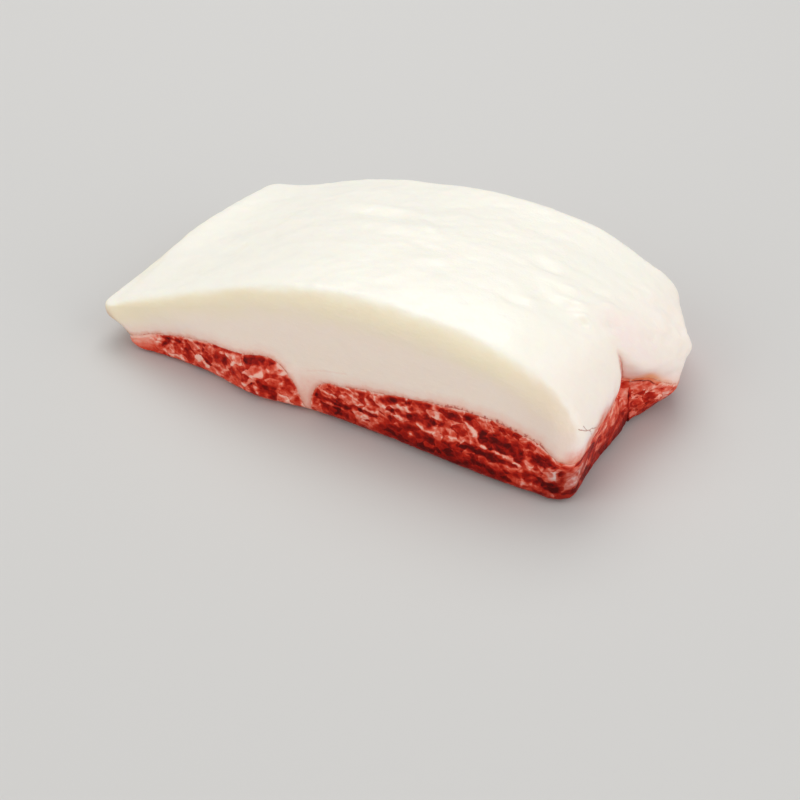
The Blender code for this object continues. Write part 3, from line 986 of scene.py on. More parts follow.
class Paint(Tree):
    """Writes the nodes of one piece's material."""

    def __init__(self, name: str) -> None:
        """Start a material with one Principled shader.

        Args:
            name: the material's name.
        """
        self.material = bpy.data.materials.new(name)
        self.material.use_nodes = True
        super().__init__(self.material.node_tree)
        self.shader = self.tree.nodes["Principled BSDF"]

    def place(self) -> Signal:
        """Point of the piece in millimetres, in the loin's own frame."""
        coordinates = self.out(self.node("ShaderNodeTexCoord"), "Object")
        return self.vector("ADD", self.scaled(coordinates, 1.0 / MILLI), FORM.middle)

    def mark(self, name: str) -> Signal:
        """Number that the mesh keeps at each point under the given name."""
        return self.out(self.node("ShaderNodeAttribute", {"attribute_name": name}), "Fac")

    def wander(self, place: Signal, size: float, reach: float, seed: float) -> Signal:
        """The place shifted by smooth noise, so that edges come out uneven.

        Args:
            place: point of the piece in millimetres.
            size: how long one swell of the shift is.
            reach: how far the shift goes.
            seed: shifts the pattern.

        Returns:
            The shifted place.
        """
        moved = self.vector("ADD", self.scaled(place, 1.0 / size), (seed, seed, seed))
        node = self.node("ShaderNodeTexNoise", {"noise_dimensions": "3D"},
                         {"Vector": moved, "Scale": 1.0, "Detail": 2.0})
        shift = self.vector("SUBTRACT", self.out(node, 1), (0.5, 0.5, 0.5))
        return self.vector("ADD", place, self.scaled(shift, 2 * reach))

    def from_line(self, place: Signal, a: Triple, b: Triple) -> Signal:
        """Distance in millimetres from the straight line between two points.

        Args:
            place: point of the piece in millimetres.
            a: one end of the line.
            b: its other end.

        Returns:
            The distance.
        """
        span = Vector(b) - Vector(a)
        start = self.vector("SUBTRACT", place, tuple(a))
        part = self.vector("DOT_PRODUCT", start, tuple(span), name=1) * (1.0 / span.length_squared)
        nearest = self.scaled(tuple(span), part.clip())
        return self.vector("LENGTH", self.vector("SUBTRACT", start, nearest), name=1)

    def near_path(self, place: Signal, points: Path) -> Signal:
        """Distance in millimetres from a line through several points.

        Args:
            place: point of the piece in millimetres.
            points: the points in order.

        Returns:
            The distance to the nearest part.
        """
        found = self.from_line(place, points[0], points[1])
        for a, b in zip(points[1:], points[2:]):
            found = found.math("MINIMUM", found, self.from_line(place, a, b))
        return found

    def coats(self, colour: Signal, layers: tuple[tuple[Value, Tone], ...]) -> Signal:
        """The colour under layers of screen colours, each laid on to the part given.

        Args:
            colour: the colour underneath.
            layers: cover and screen colour of each layer.

        Returns:
            The colour on top.
        """
        for cover, tone in layers:
            colour = self.mix(cover, colour, linear(*tone))
        return colour

    def constant(self, **values: Any) -> None:
        """Set sockets of the shader that are the same all over."""
        for name, value in values.items():
            self.shader.inputs[name.replace("_", " ")].default_value = value

    def feed(self, name: str, signal: Signal) -> None:
        """Link a signal to a socket of the shader."""
        self.tree.links.new(signal.socket, self.shader.inputs[name])

    def bump(self, height: Signal, depth: float) -> None:
        """Fine relief of the given depth in millimetres."""
        node = self.node("ShaderNodeBump", {}, {"Height": height, "Distance": depth * MILLI, "Strength": 1.0})
        self.feed("Normal", self.out(node))


# ---- relief from geometry nodes ----------------------------------------------
@dataclass(frozen=True)
class Relief:
    """Fine relief of a piece: sizes in millimetres, and the mark that limits it."""

    depth: float
    size: float
    stretch: Triple
    seed: int
    detail: float = 2.5
    mark: str = "relief"

    def tree(self, name: str) -> bpy.types.NodeTree:
        """Geometry tree that moves the surface in and out by noise.

        Args:
            name: the tree's name.

        Returns:
            The tree, with its sizes, seed and material as inputs.
        """
        group = bpy.data.node_groups.new(name, "GeometryNodeTree")
        face = group.interface
        face.new_socket("Geometry", in_out="OUTPUT", socket_type="NodeSocketGeometry")
        face.new_socket("Geometry", in_out="INPUT", socket_type="NodeSocketGeometry")
        for label, kind in (("Depth", "Float"), ("Size", "Float"), ("Stretch", "Vector"),
                            ("Seed", "Int"), ("Material", "Material")):
            face.new_socket(label, in_out="INPUT", socket_type="NodeSocket" + kind)
        t = Tree(group)
        given = t.node("NodeGroupInput")
        position = t.out(t.node("GeometryNodeInputPosition"))
        normal = t.out(t.node("GeometryNodeInputNormal"))
        mark = t.out(t.node("GeometryNodeInputNamedAttribute", {"data_type": "FLOAT"}, {"Name": self.mark}))
        spread = t.vector("MULTIPLY", position, t.out(given, "Stretch"))
        inverse = t.out(given, "Size").math("DIVIDE", 1.0, t.out(given, "Size"))
        values = {"Vector": t.scaled(spread, inverse), "W": t.out(given, "Seed"), "Scale": 1.0,
                  "Detail": self.detail}
        swell = t.out(t.node("ShaderNodeTexNoise", {"noise_dimensions": "4D"}, values), 0)
        shift = (swell - 0.5) * 2.0 * t.out(given, "Depth") * mark
        moved = t.node("GeometryNodeSetPosition", {}, {"Geometry": t.out(given, "Geometry"),
                                                       "Offset": t.scaled(normal, shift)})
        real = t.node("GeometryNodeRealizeInstances", {}, {0: t.out(moved)})
        dressed = t.node("GeometryNodeSetMaterial", {}, {"Geometry": t.out(real),
                                                         "Material": t.out(given, "Material")})
        t.node("NodeGroupOutput", {}, {0: t.out(dressed)})
        return group

    def apply(self, obj: bpy.types.Object, material: bpy.types.Material) -> None:
        """Give the piece its relief and its material, and make the result its own mesh.

        Args:
            obj: the piece, in the row frame.
            material: its finish.
        """
        modifier = obj.modifiers.new("relief", "NODES")
        modifier.node_group = self.tree(obj.name + "_relief")
        wanted = {"Depth": self.depth * MILLI, "Size": self.size * MILLI, "Stretch": self.stretch,
                  "Seed": self.seed, "Material": material}
        for item in modifier.node_group.interface.items_tree:
            if item.in_out == "INPUT" and item.name in wanted:
                modifier[item.identifier] = wanted[item.name]
        take_in(obj, modifier)


# ---- finishes ----------------------------------------------------------------
@dataclass(frozen=True)
class FatFinish:
    """Moist white fat, creamier where it is cut and pink near the lean."""

    top: Tone = (253, 248, 234)
    cut: Tone = (248, 231, 216)
    outer: Tone = (246, 232, 202)
    blush: Tone = (251, 233, 225)
    fringe: Tone = (240, 178, 158)
    stain: Tone = (232, 138, 116)
    raw: Tone = (222, 106, 82)
    amber: Tone = (246, 158, 100)
    wound: Tone = (186, 40, 22)
    # painted shade: brown laid under the nose and at the front right edge of the cut
    shade: Tone = (184, 132, 102)
    crack: Tone = (172, 92, 68)
    relief_depth: float = 0.24
    sight: Triple = (0.743, -0.619, 0.254)
    tear_middle: Triple = (65.5, 8.0, 29.0)
    tear_reach: Span = (12.0, 16.0)
    fissure_width: Span = (0.03, 0.33)
    branch_width: Span = (0.02, 0.24)
    fissure: Path = (
        (64.7, 1.3, 31.7), (65.6, 3.2, 30.5), (66.0, 6.3, 29.0), (66.0, 9.6, 27.9), (65.2, 14.6, 25.3))
    branches: tuple[Path, ...] = (
        ((66.0, 7.0, 28.8), (65.9, 8.7, 27.0), (65.7, 9.6, 25.4)),
        ((66.0, 5.4, 29.6), (65.6, 4.2, 31.0), (65.3, 3.6, 32.0)))
    cleft: Path = (
        (56.9, 46.6, 37.4), (56.6, 47.8, 35.8), (56.4, 49.4, 33.2), (56.3, 50.8, 30.7), (56.1, 51.9, 28.3),
        (55.8, 53.3, 25.7), (55.2, 54.9, 22.8), (54.6, 56.2, 20.0))
    vein: Path = ((-48.5, -3.6, 20.2), (-41.0, -3.5, 22.6), (-31.0, -3.5, 24.5))

    def flat(self, path: Path) -> Path:
        """Points of the path as they lie when seen along the line of sight."""
        sight = Vector(self.sight)
        return tuple(tuple(Vector(point) - sight * Vector(point).dot(sight)) for point in path)

    def tear(self, p: "Paint", place: Signal) -> Signal:
        """Thin branching tear at the front right corner, from 0 to 1.

        Args:
            p: writes the material.
            place: point of the piece in millimetres.

        Returns:
            The strength of the tear.
        """
        along = p.vector("DOT_PRODUCT", place, self.sight, name=1)
        seen = p.vector("SUBTRACT", place, p.scaled(self.sight, along))
        lines = p.near_path(seen, self.flat(self.fissure)).fall(*self.fissure_width)
        for path in self.branches:
            lines = lines.most(p.near_path(seen, self.flat(path)).fall(*self.branch_width))
        return lines * p.vector("DISTANCE", place, self.tear_middle, name=1).fall(*self.tear_reach)

    def make(self, name: str) -> bpy.types.Material:
        """Material of the fat.

        Args:
            name: the material's name.

        Returns:
            The material.
        """
        p = Paint(name)
        place = p.place()
        uneven = p.wander(place, 1.3, 0.40, 3.0)
        edge, cut, pink, stain, spiked = (p.mark(m) for m in ("edge", "cut", "pink", "stain", "spiked"))
        broad = p.noise(place, (17, 13, 13), 2.0, 4.0)
        mottle = p.noise(place, (4.2, 3.4, 3.4), 3.0, 9.0, 0.6)
        fine = p.noise(place, (0.9, 0.9, 0.9), 2.0, 2.0)
        drag = p.noise(place, (11, 5, 1.1), 3.0, 6.0, 0.6)
        # creamy outer layer of the cut faces, under the skin side
        outer = (p.mark("under") + (broad - 0.5) * 9.0 + (drag - 0.5) * 3.0).fall(3.0, 16.0)
        colour = p.mix(cut, linear(*self.top), p.mix(outer, linear(*self.cut), linear(*self.outer)))
        # pink veil beside the lean, raw tips at its very edge and dark spikes along the eye muscle
        rough_edge = edge + (mottle - 0.5) * 3.0 + (fine - 0.5) * 0.8
        veil = rough_edge.fall(0.0, 2.4) * 0.75 + rough_edge.fall(1.2, 6.5) * (spiked * 0.2 + 0.27)
        tips = (edge + (fine - 0.5) * 1.7 + (mottle - 0.5) * 1.3).fall(0.0, 0.5) * 0.75
        spike = p.noise(place, (1.9, 1.6, 2.2), 2.6, 13.0, 0.6).rise(0.44, 0.62) * spiked
        spikes = (edge - spike * 1.7).fall(-0.8, 0.1) * spike.rise(0.1, 0.5)
        opening = p.near_path(uneven, self.cleft)
        tear = self.tear(p, uneven)
        thread = p.near_path(uneven, self.vein).fall(0.1, 0.6)
        colour = p.coats(colour, (
            ((pink * (0.45 + mottle * 1.1)).clip(), self.blush),
            (veil.clip(), self.fringe),
            ((stain * (mottle * 3.0 - 0.55)).clip(), self.stain),
            (tips, self.raw),
            (spikes * 0.7, self.wound),
            # painted shade under the nose and at the front right edge
            (p.mark("nose"), self.shade),
            (p.mark("amber"), self.amber),
            (opening.fall(0.4, 2.2) * 0.24, self.fringe),
            (opening.fall(0.05, 0.42) * 0.62, self.raw),
            (tear * 0.75, self.crack),
            (thread * 0.16, self.fringe)))
        p.feed("Base Color", colour)
        p.feed("Roughness", 0.30 + 0.22 * mottle + 0.08 * cut)
        p.feed("Coat Weight", (0.75 - broad).clip() * 0.5)
        raised = fine * 0.35 + mottle * 0.9 + drag * cut * 0.35
        p.bump(raised - tear * 0.5 - opening.fall(0.1, 0.6) * 1.2, self.relief_depth)
        p.constant(Subsurface_Weight=0.35, Subsurface_Radius=(1.0, 0.75, 0.5), Subsurface_Scale=0.0030,
                   Coat_Roughness=0.18, IOR=1.45)
        return p.material


@dataclass(frozen=True)
class LeanFinish:
    """Raw lean: dark bundles of fibres parted by pale tissue."""

    stops: tuple[tuple[float, Tone], ...] = (
        (0.0, (90, 3, 1)), (0.16, (144, 12, 4)), (0.38, (190, 36, 17)), (0.58, (220, 78, 54)),
        (0.77, (238, 128, 106)), (1.0, (250, 194, 176)))
    rim: Tone = (240, 138, 92)
    crack: Tone = (112, 14, 6)
    # tint of the cool mark: the corner's own pale tissue, and painted shade at the foot and low on the right
    # end
    tint: tuple[float, ...] = (0.66, 0.84, 1.0, 1.0)
    block: Triple = (3.6, 3.8, 2.4)
    base: float = 0.38
    seed: float = 0.0
    relief_depth: float = 0.28

    def ramp(self, p: "Paint", value: Signal) -> Signal:
        """Colour from darkest to palest for a value from 0 to 1.

        Args:
            p: writes the material.
            value: the number from 0 to 1.

        Returns:
            The colour.
        """
        node = p.node("ShaderNodeValToRGB", {}, {"Fac": value})
        band = node.color_ramp
        while len(band.elements) < len(self.stops):
            band.elements.new(0.5)
        for element, (at, tone) in zip(band.elements, self.stops):
            element.position = at
            element.color = linear(*tone)
        return p.out(node)

    def make(self, name: str) -> bpy.types.Material:
        """Material of one muscle.

        Args:
            name: the material's name.

        Returns:
            The material.
        """
        p = Paint(name)
        place = p.place()
        torn = p.wander(p.wander(place, 4.0, 1.3, 1.0 + self.seed), 1.1, 0.24, 5.0)
        pale, dark, depth, glow = (p.mark(m) for m in ("pale", "dark", "edge", "glow"))
        walls = p.cells(torn, self.block, "DISTANCE_TO_EDGE", "Distance")
        inner = p.cells(torn, self.block, "F1", "Distance").fall(0.15, 0.62)
        tone = p.vector("DOT_PRODUCT", p.cells(torn, self.block, "F1", "Color"), (1.0, 0.0, 0.0), name=1)
        coarse = p.noise(place, (9.0, 9.0, 6.0), 2.0, 11.0 + self.seed)
        middle = p.noise(torn, (3.0, 3.2, 1.9), 2.0, 3.0 + self.seed, 0.52)
        fine = p.noise(torn, (0.7, 0.7, 0.45), 2.0, 7.0)
        vary = 1.0 - p.mark("smooth")
        # bundles of fibres with pale walls, then the streaks that the marks lay over them
        web = walls.fall(0.05, 0.52) * (coarse * 0.5 + middle * 0.5).rise(0.40, 0.66)
        uneven = (middle - 0.5) * 0.8 + (fine - 0.5) * 0.14
        streak = (pale + uneven * vary).rise(0.12, 0.92) * pale.rise(0.0, 0.30)
        deep = (dark + (middle - 0.5) * 0.6).rise(0.10, 0.80) * dark.rise(0.0, 0.25)
        blocks = ((tone - 0.5) * 0.54 - inner * 0.16 + web * 0.20) * (1.0 - dark * 0.6)
        value = self.base + 0.04 + (blocks + (middle - 0.5) * 0.70 + (fine - 0.5) * 0.10) * vary
        strong = pale * pale * pale
        value = value + streak * (0.18 + 0.10 * pale + 0.14 * strong) - deep * 0.34 * (1.0 - streak)
        # paler rim beside the fat, with an amber edge and a thin crack where the marks say so
        border = depth + (middle - 0.5) * 1.3
        near = (border + (fine - 0.5) * p.mark("spiked") * 1.8).fall(0.0, 1.5)
        # the shade mark: painted shade at the foot, painted light on the right end and the flap, and a
        # lighter left of the eye
        value = (value + near * (1.0 - glow) * 0.34 + p.mark("shade") * (1.0 - streak * 0.7)).clip()
        # the cool mark multiplies in the tint: the corner's own pale tissue, and painted shade at the foot
        # and low on the right end
        cooled = p.node("ShaderNodeMix", {"data_type": "RGBA", "blend_type": "MULTIPLY"},
                        {0: p.mark("cool"), 6: self.ramp(p, value), 7: self.tint})
        crack = border.rise(1.0, 1.4) * border.fall(1.4, 1.9) * glow.rise(0.4, 0.85)
        p.feed("Base Color", p.coats(p.out(cooled, 2), (
            (border.fall(0.5, 1.5) * glow, self.rim), (crack * 0.85, self.crack))))
        p.feed("Roughness", 0.30 + 0.22 * middle + 0.10 * fine)
        p.feed("Coat Weight", (coarse * 1.3 - 0.3).clip() * 0.08)
        raised = streak * 0.5 + walls.rise(0.0, 0.2) * 0.3 + middle * 0.9 + fine * 0.5
        p.bump(raised - deep * 0.3 - crack, self.relief_depth)
        p.constant(Subsurface_Weight=0.18, Subsurface_Radius=(1.0, 0.22, 0.12), Subsurface_Scale=0.0016,
                   Coat_Roughness=0.12, IOR=1.42, Specular_IOR_Level=0.11)
        return p.material


# ---- the pieces --------------------------------------------------------------
@dataclass(frozen=True)
class Ripple:
    """Small swell or dent of the upper side: place, reach along and across, turn and rise."""

    x: float
    y: float
    long: float
    wide: float
    turn: float
    rise: float

    def height(self, points: Array) -> Array:
        """Rise of the ripple at each point.

        Args:
            points: places in millimetres.

        Returns:
            The rise at each point.
        """
        angle = math.radians(self.turn)
        u = (points[:, 0] - self.x) * math.cos(angle) + (points[:, 1] - self.y) * math.sin(angle)
        v = (points[:, 1] - self.y) * math.cos(angle) - (points[:, 0] - self.x) * math.sin(angle)
        return self.rise * np.exp(-((u / self.long) ** 2) - ((v / self.wide) ** 2))


def set_marks(mesh: bpy.types.Mesh, **marks: Array) -> None:
    """Keep numbers at each vertex of the mesh, under the names given.

    Args:
        mesh: the mesh that keeps them.
        **marks: one number for each vertex, by name.
    """
    for name, values in marks.items():
        mark = mesh.attributes.new(name, "FLOAT", "POINT")
        mark.data.foreach_set("value", values.astype(np.float32))


def finish_piece(obj: bpy.types.Object, node: str, sharp: float = 40.0) -> bpy.types.Object:
    """Shade a piece and tell the frame what it stands for.

    Args:
        obj: the finished piece, in the row frame.
        node: CAD node that it replaces.
        sharp: angle in degrees above which an edge is drawn sharp.

    Returns:
        The same piece.
    """
    mesh = obj.data
    mesh.shade_smooth()
    mesh.set_sharp_from_angle(angle=math.radians(sharp))
    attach(obj, "root")
    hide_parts(node)
    triangles = sum(len(p.vertices) - 2 for p in mesh.polygons)
    LOG.info("%s: %d vertices, %d triangles", obj.name, len(mesh.vertices), triangles)
    return obj


@dataclass
class FatCap:
    """The cap of fat over the muscles and the seam between them."""

    form: LoinForm
    finish: FatFinish = field(default_factory=FatFinish)
    relief: Relief = Relief(depth=0.07, size=2.6, stretch=(1.0, 1.0, 1.0), seed=5)
    step: float = 1.05
    end_step: Triple = (46.0, 67.0, 0.62)
    deep_steps: tuple[Triple, ...] = ((47.0, 62.0, 0.5), (-4.0, 2.0, 0.7))
    # distance from the lean: its limit, the step of the lean's edge, and where each cut face lies
    far: float = 20.0
    edge_step: float = 0.3
    batch: int = 500
    cut_reach: float = 8.0
    nose_reach: float = -128.0
    end_start: float = 50.0
    # swells of the right end, of the lobe and of the nose
    end_swells: Swells = Swells(0.22, (4.2, 4.2, 4.2), 5.3)
    lobe_swells: Swells = Swells(1.0, (4.2, 5.0, 4.6), 9.9)
    nose_tip: Span = (-150.0, -138.0)
    nose_rolls: tuple[Triple, ...] = ((13.0, 3.0, 0.6), (20.5, 3.5, -1.1), (8.3, 2.6, -0.9))
    # soft ripples of the skin side
    ripple_gain: float = 1.5
    ripples: tuple[Ripple, ...] = tuple(Ripple(*row) for row in (
        (14, 71, 7, 3.0, 10, 0.30), (19, 64, 4.2, 2.8, 20, -0.40), (27, 45, 3.8, 2.6, 30, -0.5),
        (32.5, 49.5, 3.2, 2.4, 35, 0.5), (38, 51, 2.8, 2.2, 30, 0.5), (36, 45.5, 2.8, 2.2, 40, -0.55),
        (42.6, 44.8, 2.2, 1.8, 0, 0.75), (44, 41.0, 2.2, 1.8, 30, -0.55), (25, 37, 4.2, 2.8, 25, 0.4),
        (20, 31, 4.6, 2.8, 15, -0.35), (45, 61, 3.6, 2.6, 50, 0.4), (49.5, 34, 3.6, 2.8, 60, 0.35),
        (51, 53, 2.6, 2.2, 60, -0.4), (31, 58, 3.2, 2.4, 10, 0.4), (38, 66, 3.4, 2.4, 20, -0.35),
        (-61, 78, 17, 3.0, -8, 0.6), (-40, 66, 13, 2.6, -38, 0.55), (-64, 71, 15, 3.0, -10, -0.55),
        (-30, 48, 9, 2.6, -20, -0.3), (-100, 60, 14, 5, 20, 0.35), (-118, 40, 12, 5, 30, -0.35),
        (5, 92, 12, 4, 5, -0.4), (55, 88, 4, 3, 60, -0.5), (-84, 98, 13, 5, -10, 0.4),
        (60, 78, 3.2, 2.4, 70, 0.4), (61.5, 66, 1.6, 1.2, 80, -0.5), (61, 69.5, 1.3, 1.0, 80, -0.4)))

    def lattice(self) -> Lattice:
        """Stations of the cap, closer at the cleft and at the right end.

        Returns:
            The stations of the three axes.
        """
        f, s = self.form, self.step
        return Lattice(stations(f.nose_x, f.end_x, s, (self.end_step,)),
                       stations(f.front_y, f.back_y, s, self.deep_steps), stations(0.0, f.level, s))

    def swell(self, obj: bpy.types.Object) -> None:
        """Raise the ripples of the skin side and the small swells of the right end.

        Args:
            obj: the piece, in the loin's own frame and in millimetres.
        """
        points, normals = read_points(obj.data), read_normals(obj.data)
        x, y, z = points.T
        lift = facing_up(normals) * self.ripple_gain * sum(r.height(points) for r in self.ripples)
        right = ease(20, 62, x) * (1 - ease(0.85, 1.0, np.abs(normals[:, 1]))) * ease(22, 28, z)
        lobe = ease(56, 66, x) * ease(62, 74, y) * ease(12, 18, z)
        lift += right * self.end_swells.at(points)
        lift += lobe * self.lobe_swells.at(points)
        rolls = sum(out * bell(z, centre, reach) for centre, reach, out in self.nose_rolls)
        lift += (1 - ease(*self.nose_tip, x)) * rolls
        write_points(obj.data, points + normals * lift[:, None])

    def lean_edge(self, places: Array, depth: float, across: bool) -> Array:
        """Upper edge of the lean in one cut, as points a small step apart.

        Args:
            places: places along the cut.
            depth: where the cut lies in the other direction.
            across: whether the cut runs across the loin.

        Returns:
            Two rows: the place along the cut and the height.
        """
        level = np.full_like(places, depth)
        x, y = (level, places) if across else (places, level)
        height = np.where(x < self.form.rib_end, self.form.rib_top(x, y), self.form.eye_top(x, y))
        height = np.clip(np.nan_to_num(height, nan=-1.0), -1.0, None)
        run = np.concatenate([[0.0], np.cumsum(np.hypot(np.diff(places), np.diff(height)))])
        even = np.arange(0.0, run[-1], self.edge_step)
        return np.stack([np.interp(even, run, places), np.interp(even, run, height)])

    def above_lean(self, points: Array) -> Array:
        """Distance in millimetres from the lean, measured along the cut faces.

        Args:
            points: places in millimetres.

        Returns:
            The distance at each point.
        """
        x, y, z = points.T
        f = self.form
        found = np.full_like(x, self.far)
        long = np.arange(f.nose_x, f.end_x, 0.02)
        deep = np.arange(f.front_y, f.back_y, 0.05)
        cuts = ((y < f.front_y + self.cut_reach, long, f.front_y, False),
                (y > f.back_y - self.cut_reach, long, f.back_y, False),
                (x < self.nose_reach, deep, f.nose_x + self.cut_reach, True))
        for zone, places, depth, across in cuts:
            edge = self.lean_edge(places, depth, across)
            seen = np.stack([y if across else x, z])[:, zone]
            nearest = [np.hypot(*(seen[:, k:k + self.batch, None] - edge[:, None, :])).min(axis=1)
                       for k in range(0, seen.shape[1], self.batch)]
            if nearest:
                found[zone] = np.minimum(found[zone], np.concatenate(nearest))
        over = np.maximum(z - f.eye_top(x, y), 0.0)
        return np.where(x > self.end_start, np.minimum(found, over), found)

    def marks(self, obj: bpy.types.Object) -> None:
        """Work out where the fat is cut, pink or close to the lean.

        Args:
            obj: the piece, in the loin's own frame and in millimetres.
        """
        f, mesh = self.form, obj.data
        points, normals = read_points(mesh), read_normals(mesh)
        x, y, z = points.T
        edge = self.above_lean(points)
        side = ease(0.35, 0.85, np.maximum(np.abs(normals[:, 1]), -normals[:, 0]))
        end = ease(0.3, 0.8, normals[:, 0]) * ease(40, 60, x)
        cut = np.maximum(side * (1 - 0.85 * ease(48, 64, x) * ease(4, 9, y)), 0.25 * end)
        # pink right end and cleft, and a pink veil over the lean
        pink = 0.55 * ease(30, 64, x) * (1 - 0.8 * bell(y, -6, 6)) + 0.6 * bell(y, 56, 8) * bell(x, 56, 13)
        pink += 0.5 * end * (1 - ease(3, 14, edge)) + 0.25 * (1 - ease(1, 8, edge))
        # raw tinge over the lean of the right end, and on the seam between the muscles
        stain = end * (1 - ease(1.5, 7.5, edge)) * (1 - 0.95 * ease(54, 59, y)) * 0.75
        stain += 0.62 * bell(x, -48.3, 5.0) * (1 - ease(4, 25, z))
        stain += 0.5 * end * bell(y, 18, 7) * (1 - ease(3, 9, edge))
        # amber line over the lobe's lean, and painted shade under the nose and at the front right edge
        amber = 0.9 * (end * bell(y, 63, 7) * (1 - ease(1.0, 4.0, edge)) * ease(54, 57, y))
        nose = 0.8 * (1 - ease(3.0, 9.5, x - (f.nose_x + f.undercut(z)))) * (1 - ease(11.5, 17, z))
        corner = 0.11 * ease(30, 58, x) * (1 - ease(2, 8, y)) * side
        spiked = ease(2, 14, x) * (1 - ease(52, 58, x)) * ease(0.3, 0.6, -normals[:, 1])
        set_marks(mesh, edge=edge, cut=cut, pink=np.clip(pink, 0, 1), stain=np.clip(stain, 0, 1), amber=amber,
                  spiked=spiked, nose=np.maximum(nose, corner), under=f.crown(x, y) - z,
                  relief=ease(0.4, 1.6, edge) * ease(0.2, 1.5, z))

    def build(self, carver: Carver, rooms: list[bpy.types.Object]) -> bpy.types.Object:
        """Cut the cap from the whole loin and dress it.

        Args:
            carver: cuts the pieces.
            rooms: the space that the muscles take.

        Returns:
            The finished piece.
        """
        obj = carver.whole("loin_fat", self.lattice())
        self.swell(obj)
        for room in rooms:
            carver.cut(obj, room, Cut.TAKE_AWAY)
        carver.clean(obj)
        self.marks(obj)
        write_points(obj.data, self.form.to_row(read_points(obj.data)))
        self.relief.apply(obj, self.finish.make("fat"))
        return finish_piece(obj, "fat_cap")


class Muscle(Enum):
    """The muscles and the CAD node and slot that each stands for."""

    RIB = ("rib_muscle", "rib_lean")
    EYE = ("eye_muscle", "eye_lean")
    FLAP = ("flap_muscle", "flap_lean")


